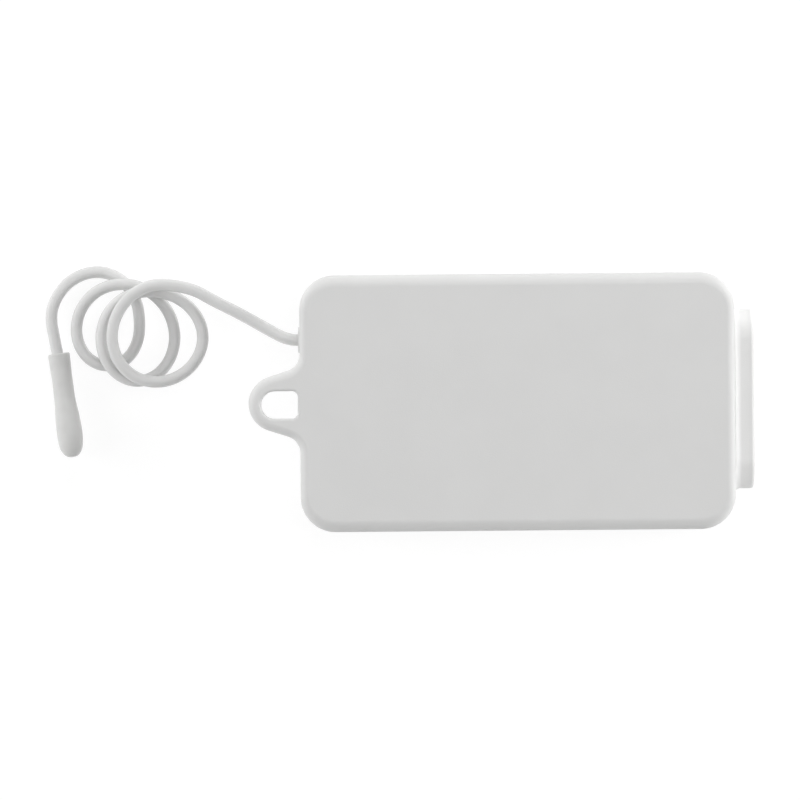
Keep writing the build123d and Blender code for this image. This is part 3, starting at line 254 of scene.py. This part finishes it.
def make_camera():
    """The camera over the case's back face."""
    data = bpy.data.cameras.new("camera")
    data.lens = CAMERA_LENS
    data.sensor_width = CAMERA_SENSOR
    camera = bpy.data.objects.new("camera", data)
    camera.location = (CAMERA_X, CAMERA_Y, CAMERA_HEIGHT)
    camera.rotation_euler = (0, 0, math.radians(CAMERA_TURN))
    bpy.context.scene.collection.objects.link(camera)
    bpy.context.scene.camera = camera


def seen_directly(tree):
    """1 for what the camera sees, straight on or in a gloss or through a clear piece."""
    path = tree.nodes.new("ShaderNodeLightPath")
    seen = path.outputs["Is Camera Ray"]
    for ray in ("Is Glossy Ray", "Is Transmission Ray"):
        either = tree.nodes.new("ShaderNodeMath")
        either.operation = "MAXIMUM"
        tree.links.new(seen, either.inputs[0])
        tree.links.new(path.outputs[ray], either.inputs[1])
        seen = either.outputs[0]
    return seen


def make_floor():
    """A white table top that looks white and still takes a soft shadow."""
    bpy.ops.mesh.primitive_plane_add(size=FLOOR_WIDTH, location=(0, 0, FLOOR_LEVEL))
    floor = bpy.context.object
    floor.name = "table_top"
    made = bpy.data.materials.new("table_white")
    made.use_nodes = True
    tree = made.node_tree
    tree.nodes.remove(tree.nodes["Principled BSDF"])
    matte = tree.nodes.new("ShaderNodeBsdfDiffuse")
    matte.inputs["Color"].default_value = (*FLOOR_COLOUR, 1)
    white = tree.nodes.new("ShaderNodeEmission")
    white.inputs["Strength"].default_value = FLOOR_WHITE
    share = tree.nodes.new("ShaderNodeMath")
    share.operation = "MULTIPLY"
    share.inputs[1].default_value = FLOOR_WHITE_SHARE
    tree.links.new(seen_directly(tree), share.inputs[0])
    mix = tree.nodes.new("ShaderNodeMixShader")
    tree.links.new(share.outputs[0], mix.inputs["Fac"])
    tree.links.new(matte.outputs[0], mix.inputs[1])
    tree.links.new(white.outputs[0], mix.inputs[2])
    tree.links.new(mix.outputs[0], tree.nodes["Material Output"].inputs["Surface"])
    floor.data.materials.append(made)


def make_sky():
    """Even light from all round, white where it is seen."""
    sky = bpy.data.worlds.new("studio_white")
    sky.use_nodes = True
    tree = sky.node_tree
    ground = tree.nodes["Background"]
    ground.inputs["Color"].default_value = (1, 1, 1, 1)
    level = tree.nodes.new("ShaderNodeMapRange")
    level.inputs["To Min"].default_value = SKY_STRENGTH
    level.inputs["To Max"].default_value = 1
    tree.links.new(seen_directly(tree), level.inputs["Value"])
    tree.links.new(level.outputs["Result"], ground.inputs["Strength"])
    bpy.context.scene.world = sky


def make_lamps():
    """Soft square lamps, all aimed at the case."""
    for name, place, watts in LAMPS:
        data = bpy.data.lights.new(name, "AREA")
        data.shape = "SQUARE"
        data.size = LAMP_WIDTH
        data.energy = watts
        lamp = bpy.data.objects.new(name, data)
        lamp.location = place
        way = Vector(LAMP_TARGET) - Vector(place)
        lamp.rotation_euler = way.to_track_quat("-Z", "Y").to_euler()
        lamp.visible_camera = False
        lamp.visible_glossy = False
        bpy.context.scene.collection.objects.link(lamp)


class Finish:
    """A surface finish in the making: its material, its nodes and its shader."""

    def __init__(self, name):
        self.material = bpy.data.materials.new(name)
        self.material.use_nodes = True
        self.tree = self.material.node_tree
        self.shader = self.tree.nodes["Principled BSDF"]

    def link(self, source, target):
        """Joins one node's output to the next one's input."""
        self.tree.links.new(source, target)

    def place(self, stretch=(1, 1, 1)):
        """Where a point lies on the object, stretched along its axes."""
        point = self.tree.nodes.new("ShaderNodeTexCoord")
        mapping = self.tree.nodes.new("ShaderNodeMapping")
        mapping.inputs["Scale"].default_value = stretch
        self.link(point.outputs["Object"], mapping.inputs["Vector"])
        return mapping.outputs["Vector"]

    def mottle(self, size, detail=3, stretch=(1, 1, 1)):
        """Soft irregular patches about so many millimetres across."""
        noise = self.tree.nodes.new("ShaderNodeTexNoise")
        noise.inputs["Scale"].default_value = 1 / (size * MM)
        noise.inputs["Detail"].default_value = detail
        self.link(self.place(stretch), noise.inputs["Vector"])
        return noise.outputs["Fac"]

    def bands(self, pitch, axis, waver):
        """Even bands across an axis, so many millimetres apart."""
        wave = self.tree.nodes.new("ShaderNodeTexWave")
        wave.bands_direction = axis
        wave.inputs["Scale"].default_value = BAND_REPEAT / (pitch * MM)
        wave.inputs["Distortion"].default_value = waver
        self.link(self.place(), wave.inputs["Vector"])
        return wave.outputs["Fac"]

    def cells(self, size, feature, stretch=(1, 1, 1)):
        """Distances within irregular cells about so many millimetres across."""
        cell = self.tree.nodes.new("ShaderNodeTexVoronoi")
        cell.feature = feature
        cell.inputs["Scale"].default_value = 1 / (size * MM)
        self.link(self.place(stretch), cell.inputs["Vector"])
        return cell.outputs["Distance"]

    def along(self, axis):
        """How far a point lies along an axis, in metres."""
        split = self.tree.nodes.new("ShaderNodeSeparateXYZ")
        self.link(self.place(), split.inputs[0])
        return split.outputs[axis]

    def work(self, operation, first, second):
        """Plain arithmetic on a value."""
        step = self.tree.nodes.new("ShaderNodeMath")
        step.operation = operation
        self.link(first, step.inputs[0])
        if isinstance(second, (int, float)):
            step.inputs[1].default_value = second
        else:
            self.link(second, step.inputs[1])
        return step.outputs[0]

    def above(self, value, limit):
        """1 where a value is over a limit."""
        return self.work("GREATER_THAN", value, limit)

    def below(self, value, limit):
        """1 where a value is under a limit."""
        return self.work("LESS_THAN", value, limit)

    def larger(self, first, second):
        """The larger of two values."""
        return self.work("MAXIMUM", first, second)

    def distance(self, axis, middle):
        """How far a point lies from a middle, along an axis."""
        return self.work("ABSOLUTE", self.work("SUBTRACT", self.along(axis), middle), 0)

    def blend(self, share, under, over):
        """One colour over another."""
        mix = self.tree.nodes.new("ShaderNodeMix")
        mix.data_type = "RGBA"
        self.link(share, mix.inputs["Factor"])
        self.link(under, mix.inputs[MIX_UNDER])
        if isinstance(over, tuple):
            mix.inputs[MIX_OVER].default_value = (*over, 1)
        else:
            self.link(over, mix.inputs[MIX_OVER])
        return mix.outputs[MIX_RESULT]

    def tone(self, value, dark, light, low=0.35, high=0.65):
        """A colour that runs from dark to light with a value."""
        ramp = self.tree.nodes.new("ShaderNodeValToRGB")
        first, last = ramp.color_ramp.elements
        first.position, first.color = low, (*dark, 1)
        last.position, last.color = high, (*light, 1)
        self.link(value, ramp.inputs["Fac"])
        return ramp.outputs["Color"]

    def spread(self, value, low, high):
        """A number that runs from low to high with a value."""
        scale = self.tree.nodes.new("ShaderNodeMapRange")
        scale.inputs["To Min"].default_value = low
        scale.inputs["To Max"].default_value = high
        self.link(value, scale.inputs["Value"])
        return scale.outputs["Result"]

    def colour(self, source):
        """The surface's own colour."""
        self.link(source, self.shader.inputs["Base Color"])

    def gloss(self, value, low, high):
        """Roughness between two limits."""
        self.link(self.spread(value, low, high), self.shader.inputs["Roughness"])

    def grain(self, value, depth, strength=0.3):
        """Relief so many millimetres deep."""
        bump = self.tree.nodes.new("ShaderNodeBump")
        bump.inputs["Strength"].default_value = strength
        bump.inputs["Distance"].default_value = depth * MM
        self.link(value, bump.inputs["Height"])
        self.link(bump.outputs["Normal"], self.shader.inputs["Normal"])


def shade(colour, share):
    """A colour made darker or lighter."""
    return tuple(min(1.0, part * share) for part in colour)


def moulded(name, colour, roughness, spark=0.25, depth=0.06):
    """Moulded plastic: spark-eroded grain, and a faint unevenness of tone."""
    finish = Finish(name)
    finish.colour(finish.tone(finish.mottle(9, detail=2), shade(colour, 0.985), colour))
    fine = finish.mottle(spark)
    finish.gloss(fine, roughness - 0.06, roughness + 0.06)
    finish.grain(fine, depth)
    return finish.material


def soft_rubber(name, colour, roughness, lump, skin):
    """A dipped or moulded rubber: low soft lumps and a dull sheen."""
    finish = Finish(name)
    finish.colour(finish.tone(finish.mottle(3), shade(colour, 0.96), colour))
    finish.gloss(finish.mottle(0.6), roughness - 0.08, roughness + 0.08)
    finish.grain(finish.mottle(lump, detail=2), depth=0.12, strength=0.35)
    finish.shader.inputs["Coat Weight"].default_value = skin
    finish.shader.inputs["Coat Roughness"].default_value = 0.2
    finish.shader.inputs["Subsurface Weight"].default_value = 0.06
    finish.shader.inputs["Subsurface Radius"].default_value = (2 * MM, 2 * MM, 2 * MM)
    finish.shader.inputs["Subsurface Scale"].default_value = 0.5
    return finish.material


def plated(name, colour, roughness, streak=(1, 1, 1)):
    """Plated metal: fine rolling streaks and a slightly clouded gloss."""
    finish = Finish(name)
    cloud = finish.mottle(1.2, detail=4, stretch=streak)
    finish.colour(finish.tone(cloud, shade(colour, 0.82), colour))
    fine = finish.mottle(0.12, detail=2, stretch=streak)
    finish.gloss(fine, roughness - 0.08, roughness + 0.1)
    finish.grain(fine, depth=0.01)
    finish.shader.inputs["Metallic"].default_value = 1
    return finish.material


def tracked_board(name, mask, track, island):
    """A circuit board: solder mask over copper tracks and islands, with round tinned pads."""
    finish = Finish(name)
    tracks = finish.below(finish.cells(track, "DISTANCE_TO_EDGE"), TRACK_HALF)
    ground = finish.below(finish.cells(island, "F1"), ISLAND_REACH)
    raised = finish.larger(tracks, ground)
    coated = finish.tone(raised, mask, shade(mask, COPPER_LIFT), low=0, high=1)
    pads = finish.below(finish.cells(PAD_PITCH, "F1", stretch=(1, 1, 0)), PAD_REACH)
    finish.colour(finish.blend(pads, coated, TINNED_PAD))
    finish.gloss(finish.mottle(0.8), 0.24, 0.38)
    finish.link(pads, finish.shader.inputs["Metallic"])
    finish.grain(raised, depth=0.035, strength=0.6)
    return finish.material


def cable_jacket():
    """The lead's smooth thermoplastic jacket, a little uneven where it was drawn."""
    finish = Finish("cable_jacket")
    white = (0.69, 0.69, 0.685)
    finish.colour(finish.tone(finish.mottle(5), shade(white, 0.95), white))
    finish.gloss(finish.mottle(0.9), 0.26, 0.4)
    finish.grain(finish.mottle(1.6, detail=2), depth=0.03)
    finish.shader.inputs["Coat Weight"].default_value = 0.8
    finish.shader.inputs["Coat Roughness"].default_value = 0.14
    return finish.material


def two_wire_sleeves():
    """Two thin wires side by side, one in a red sleeve and one in a black one."""
    finish = Finish("wire_sleeves")
    side = finish.above(finish.along("Y"), WIRE_SPLIT)
    black = finish.tone(finish.mottle(1), (0.012, 0.012, 0.013), (0.02, 0.02, 0.021))
    red = finish.tone(finish.mottle(1), (0.42, 0.02, 0.015), (0.52, 0.03, 0.02))
    finish.colour(finish.blend(side, black, red))
    finish.gloss(finish.mottle(0.4), 0.3, 0.45)
    finish.grain(finish.mottle(0.5), depth=0.01)
    return finish.material


def wound(name, dark, light, pitch, axis, metallic, roughness, waver):
    """Turns of wire or tape that lie side by side, darker in the hollows between them and lighter
    on their crowns: painted shade and a painted sheen.
    """
    finish = Finish(name)
    turns = finish.bands(pitch, axis, waver)
    # The tone follows the relief of the turns: painted shade in the hollows between turns and a
    # painted sheen on their crowns
    finish.colour(finish.tone(turns, dark, light, low=0, high=1))
    finish.gloss(finish.mottle(0.5), roughness - 0.08, roughness + 0.08)
    finish.grain(turns, depth=0.06, strength=0.8)
    finish.shader.inputs["Metallic"].default_value = metallic
    return finish.material


def capacitor_sleeve():
    """A shrunk dark sleeve with a pale stripe, and bare aluminium on the can's end."""
    finish = Finish("capacitor_sleeve")
    end = finish.below(finish.along("Z"), CAN_END)
    first, second = (
        finish.below(finish.distance("X", middle), CAN_STRIPE_HALF) for middle in CAN_MIDDLES
    )
    stripe = finish.larger(first, second)
    sleeve = finish.tone(finish.mottle(2), (0.012, 0.014, 0.02), (0.02, 0.022, 0.032))
    printed = finish.blend(stripe, sleeve, (0.38, 0.38, 0.4))
    finish.colour(finish.blend(end, printed, (0.78, 0.78, 0.79)))
    finish.link(end, finish.shader.inputs["Metallic"])
    finish.gloss(finish.mottle(0.7), 0.26, 0.4)
    finish.grain(finish.mottle(1.4, detail=2), depth=0.04)
    return finish.material


def fuse_body():
    """A ceramic fuse tube between two plated end caps."""
    finish = Finish("fuse_body")
    far = finish.above(finish.distance("X", FUSE_MIDDLE), FUSE_TUBE_HALF)
    tube = finish.tone(finish.mottle(1.2), (0.66, 0.64, 0.58), (0.74, 0.72, 0.67))
    finish.colour(finish.blend(far, tube, (0.74, 0.73, 0.70)))
    finish.link(far, finish.shader.inputs["Metallic"])
    finish.gloss(finish.mottle(0.4), 0.18, 0.32)
    finish.grain(finish.mottle(0.6), depth=0.01)
    return finish.material


def chip_parts():
    """Small ceramic blocks with tinned ends."""
    finish = Finish("chip_parts")
    row = finish.work("SUBTRACT", finish.along("Y"), CHIP_ROW_MIDDLE)
    ends = finish.above(finish.work("PINGPONG", row, CHIP_ROW_PITCH / 2), CHIP_BODY_HALF)
    block = finish.tone(finish.mottle(0.5), (0.2, 0.15, 0.1), (0.3, 0.24, 0.17))
    finish.colour(finish.blend(ends, block, TINNED_END))
    finish.link(ends, finish.shader.inputs["Metallic"])
    finish.gloss(finish.mottle(0.2), 0.3, 0.5)
    finish.grain(finish.mottle(0.15), depth=0.01)
    return finish.material


def clear_resin(name, colour, roughness, clearness):
    """Clear or milky moulded resin with a faint haze and fine flow lines."""
    finish = Finish(name)
    finish.colour(finish.tone(finish.mottle(3), shade(colour, 0.97), colour))
    finish.gloss(finish.mottle(0.7), roughness, roughness + 0.06)
    flow = finish.mottle(1.5, detail=2, stretch=(1, 1, 0.3))
    finish.grain(flow, depth=0.01, strength=0.2)
    finish.shader.inputs["Transmission Weight"].default_value = clearness
    finish.shader.inputs["IOR"].default_value = 1.49
    return finish.material


def dipped(name, colour, roughness):
    """A thick dipped coat with sags and pinholes."""
    finish = Finish(name)
    finish.colour(finish.tone(finish.mottle(2.5), shade(colour, 0.85), colour))
    finish.gloss(finish.mottle(0.6), roughness - 0.06, roughness + 0.08)
    finish.grain(finish.mottle(1.8), depth=0.15, strength=0.5)
    finish.shader.inputs["Coat Weight"].default_value = 0.35
    finish.shader.inputs["Coat Roughness"].default_value = 0.2
    return finish.material


def sintered(name, colour):
    """Pressed and fired ferrite: dull, dark and speckled."""
    finish = Finish(name)
    speckle = finish.mottle(0.25, detail=5)
    finish.colour(finish.tone(speckle, shade(colour, 0.7), shade(colour, 1.5)))
    finish.gloss(finish.mottle(0.4), 0.55, 0.75)
    finish.grain(finish.mottle(0.3, detail=5), depth=0.05, strength=0.5)
    return finish.material


# Every slot's finish
FINISHES = {
    "case_white": moulded("case_plastic", (0.71, 0.71, 0.705), roughness=0.42),
    "collar_white": moulded("collar_plastic", (0.78, 0.78, 0.775), roughness=0.38),
    "grommet_white": soft_rubber(
        "grommet_rubber", (0.68, 0.68, 0.675), roughness=0.5, lump=1.5, skin=0.1
    ),
    "cable_white": cable_jacket(),
    "probe_white": soft_rubber(
        "dipped_rubber", (0.66, 0.66, 0.65), roughness=0.36, lump=4, skin=0.5
    ),
    "screw_steel": plated("zinc_plated_steel", (0.62, 0.63, 0.64), roughness=0.3),
    "terminal_screw_steel": plated("nickel_plated_steel", (0.68, 0.66, 0.62), roughness=0.26),
    "cage_steel": plated("cage_plating", (0.6, 0.6, 0.6), roughness=0.34, streak=(1, 4, 1)),
    "bar_brass": plated("tinned_brass", (0.78, 0.66, 0.42), roughness=0.3, streak=(4, 1, 1)),
    "terminal_green": moulded("terminal_nylon", (0.035, 0.25, 0.12), roughness=0.4),
    "board_green": tracked_board("main_board", (0.025, 0.2, 0.09), track=3.2, island=9),
    "radio_blue": tracked_board("radio_board", (0.012, 0.03, 0.075), track=1.9, island=5),
    "button_white": moulded(
        "button_plastic", (0.74, 0.74, 0.735), roughness=0.34, spark=0.4, depth=0.03
    ),
    "switch_black": moulded("switch_nylon", (0.02, 0.02, 0.02), roughness=0.5),
    "plunger_grey": moulded("plunger_nylon", (0.16, 0.16, 0.165), roughness=0.45),
    "pipe_clear": clear_resin("light_pipe_resin", (0.88, 0.9, 0.9), roughness=0.1, clearness=0.3),
    "lamp_clear": clear_resin("lamp_resin", (0.55, 0.7, 0.9), roughness=0.06, clearness=0.8),
    "connector_white": moulded("connector_nylon", (0.76, 0.74, 0.67), roughness=0.44),
    "wire_red_black": two_wire_sleeves(),
    "relay_blue": moulded("relay_cover_plastic", (0.02, 0.12, 0.42), roughness=0.32, spark=0.5),
    "relay_base_black": moulded("base_plastic", (0.018, 0.018, 0.019), roughness=0.48),
    "bobbin_white": moulded("bobbin_nylon", (0.74, 0.72, 0.66), roughness=0.42),
    # Enamelled wire, dark to light across each turn: the dark is painted shade between turns, the
    # light a painted sheen on them
    "copper_wire": wound(
        "enamelled_wire", (0.3, 0.1, 0.04), (0.76, 0.36, 0.17),
        pitch=0.3, axis="Z", metallic=0.85, roughness=0.3, waver=0.2,
    ),
    "iron": plated("nickel_plated_iron", (0.4, 0.4, 0.41), roughness=0.36),
    "leaf_copper": plated("contact_copper", (0.82, 0.52, 0.34), roughness=0.28, streak=(1, 5, 1)),
    "ferrite": sintered("ferrite_block", (0.06, 0.06, 0.063)),
    # Polyester tape, dark to light across each wrap: painted shade in the low part of each wrap
    # and a painted sheen on its raised part
    "tape_yellow": wound(
        "polyester_tape", (0.62, 0.46, 0.03), (0.82, 0.64, 0.08),
        pitch=2.2, axis="Z", metallic=0.0, roughness=0.28, waver=0.6,
    ),
    "capacitor_black": capacitor_sleeve(),
    "film_yellow": moulded("film_capacitor_case", (0.78, 0.6, 0.07), roughness=0.36, spark=0.5),
    "varistor_blue": dipped("varistor_coat", (0.03, 0.17, 0.52), roughness=0.34),
    "fuse_glass": fuse_body(),
    "chip_black": moulded("chip_epoxy", (0.022, 0.022, 0.023), roughness=0.55, spark=0.15),
    "shield_tin": plated("tinned_shield", TINNED_END, roughness=0.3, streak=(1, 6, 1)),
    "antenna_gold": plated("gilded_copper", (0.82, 0.62, 0.26), roughness=0.26),
    "chip_grey": chip_parts(),
    "bead_glass": dipped("sensor_bead", (0.05, 0.035, 0.025), roughness=0.25),
}


def start_piece():
    """Leaves nothing selected before a new piece is added."""
    bpy.ops.object.select_all(action="DESELECT")


def edit(piece):
    """Opens a piece for modelling with all of it selected."""
    start_piece()
    piece.select_set(True)
    bpy.context.view_layer.objects.active = piece
    bpy.ops.object.mode_set(mode="EDIT")
    bpy.ops.mesh.select_all(action="SELECT")


def done(piece, name, material, angle):
    """Closes a modelled piece, settles its place into its mesh and smooths it."""
    bpy.ops.mesh.select_all(action="SELECT")
    bpy.ops.mesh.remove_doubles(threshold=MERGE_NEAR)
    bpy.ops.mesh.normals_make_consistent(inside=False)
    bpy.ops.object.mode_set(mode="OBJECT")
    bpy.ops.object.transform_apply(location=True, rotation=True, scale=True)
    piece.name = name
    piece.data.name = name
    piece.data.materials.clear()
    piece.data.materials.append(material)
    bpy.ops.object.shade_smooth_by_angle(angle=math.radians(angle))


def settle(piece, kind, **values):
    """Adds a modifier with its values and applies it."""
    bpy.context.view_layer.objects.active = piece
    modifier = piece.modifiers.new(kind.lower(), kind)
    for key, value in values.items():
        setattr(modifier, key, value)
    bpy.ops.object.modifier_apply(modifier=modifier.name)


def stand_in(piece, body, *nodes):
    """A piece rides on a body and stands for its nodes, which are hidden."""
    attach(piece, body)
    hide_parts(*nodes)


def even_shading(data, near):
    """Flat faces shade flat, and each rounding starts square to the flat that it leaves."""
    ways = [face.normal.copy() for face in data.polygons]
    flats = [max(abs(part) for part in way) > FLAT_SHARE for way in ways]
    faces_at = [[] for _ in data.vertices]
    for face in data.polygons:
        for corner in face.vertices:
            faces_at[corner].append(face.index)
    shading = [None] * len(data.loops)
    for face in data.polygons:
        way = ways[face.index]
        for corner in face.loop_indices:
            if flats[face.index]:
                shading[corner] = way
                continue
            faces = faces_at[data.loops[corner].vertex_index]
            around = [n for n in faces if ways[n].dot(way) > near]
            chosen = [n for n in around if flats[n]] or around
            total = sum((ways[n] * data.polygons[n].area for n in chosen), Vector())
            shading[corner] = total.normalized()
    data.normals_split_custom_set(shading)


def widen_long_edges(data):
    """Rounds the back's long edges more than its ends, with a smooth change at the corners."""
    low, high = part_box("front_shell")
    half_length, half_width = (high[0] - low[0]) / 2, (high[1] - low[1]) / 2
    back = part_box("back_shell")[1][2]
    for vertex in data.vertices:
        x, y, z = vertex.co
        past_x = max(abs(x) - half_length + CORNER_RADIUS, 0)
        past_y = max(abs(y) - half_width + CORNER_RADIUS, 0)
        past = Vector((past_x, past_y, 0))
        inside, under = CORNER_RADIUS - past.length, back - z
        reach = EDGE_ROUND + EDGE_NEAR
        if under > reach or not -EDGE_NEAR < inside < reach:
            continue
        way = past.normalized()
        long_share = way.y * way.y * (3 - 2 * way.y)
        wider = long_share * (LONG_EDGE_ROUND / EDGE_ROUND - 1)
        shift = Vector((math.copysign(way.x, x), math.copysign(way.y, y), 0)) * inside
        vertex.co -= (shift + Vector((0, 0, under))) * wider


def finished(node):
    """A merged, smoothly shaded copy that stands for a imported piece."""
    data = frame["nodes"][node].data.copy()
    piece = bpy.data.objects.new(f"{node}_surface", data)
    bpy.context.scene.collection.objects.link(piece)
    data.materials.clear()
    data.materials.append(FINISHES[SLOTS[node]])
    edit(piece)
    bpy.ops.mesh.remove_doubles(threshold=MERGE_NEAR)
    bpy.ops.object.mode_set(mode="OBJECT")
    if node == "back_shell":
        widen_long_edges(data)
    angle = math.radians(SMOOTH_ANGLE)
    bpy.ops.object.shade_smooth_by_angle(angle=angle)
    if node in FLAT_SIDED:
        even_shading(data, math.cos(angle))
    else:
        settle(
            piece, "WEIGHTED_NORMAL",
            mode="FACE_AREA_WITH_ANGLE", keep_sharp=True, weight=NEUTRAL_WEIGHT,
        )
    return piece


def model_probe():
    """The dipped sleeve: an open mouth with a soft lip, a waist, a bulb and a blunt tip."""
    way, mouth = probe_way(), Vector(PROBE_MOUTH)
    along, radius = PROBE_PROFILE[0]
    start_piece()
    bpy.ops.mesh.primitive_circle_add(
        vertices=PROBE_SIDES,
        radius=radius * MM,
        fill_type="NGON",
        location=mouth + way * along * MM,
        rotation=way.to_track_quat("Z", "Y").to_euler(),
    )
    probe = bpy.context.object
    edit(probe)
    for next_along, next_radius in PROBE_PROFILE[1:]:
        bpy.ops.mesh.extrude_region_move(
            TRANSFORM_OT_translate={"value": way * (next_along - along) * MM}
        )
        middle = mouth + way * next_along * MM
        bpy.ops.transform.resize(value=(next_radius / radius,) * 3, center_override=middle)
        along, radius = next_along, next_radius
    done(probe, "dipped_sleeve", FINISHES["probe_white"], PROBE_SMOOTH)
    settle(probe, "SUBSURF", levels=PROBE_LEVELS, render_levels=PROBE_LEVELS)
    sag = bpy.data.textures.new("dip_sag", "CLOUDS")
    sag.noise_scale = PROBE_SAG_SIZE
    settle(
        probe, "DISPLACE", texture=sag, texture_coords="LOCAL", strength=PROBE_SAG, mid_level=0.5
    )
    return probe


def model_inner_lead():
    """The lead's end inside the case: its jacket cut square with a soft edge."""
    low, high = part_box("inner_cable")
    start_piece()
    bpy.ops.mesh.primitive_cylinder_add(
        vertices=LEAD_SIDES,
        radius=CABLE_RADIUS,
        depth=high[0] - low[0],
        location=(Vector(low) + Vector(high)) / 2,
        rotation=(0, math.radians(90), 0),
    )
    inner = bpy.context.object
    edit(inner)
    bpy.ops.mesh.bevel(offset=LEAD_END_ROUND, segments=LEAD_END_STEPS, affect="EDGES")
    done(inner, "inner_lead", FINISHES["cable_white"], LEAD_END_SMOOTH)
    return inner


make_camera()
make_floor()
make_sky()
make_lamps()

lead = make_lead()
lead.data.materials.append(FINISHES["cable_white"])
stand_in(lead, "case", "cable_lead", "cable_coil")
probe = model_probe()
stand_in(probe, "case", "probe_jacket")
stand_in(model_inner_lead(), "case", "inner_cable")

for node, piece in frame["nodes"].items():
    piece.data.materials.clear()
    piece.data.materials.append(FINISHES[SLOTS[node]])
for node in ROUNDED_PIECES:
    stand_in(finished(node), BODIES[node], node)

bpy.context.scene.view_settings.view_transform = "Standard"
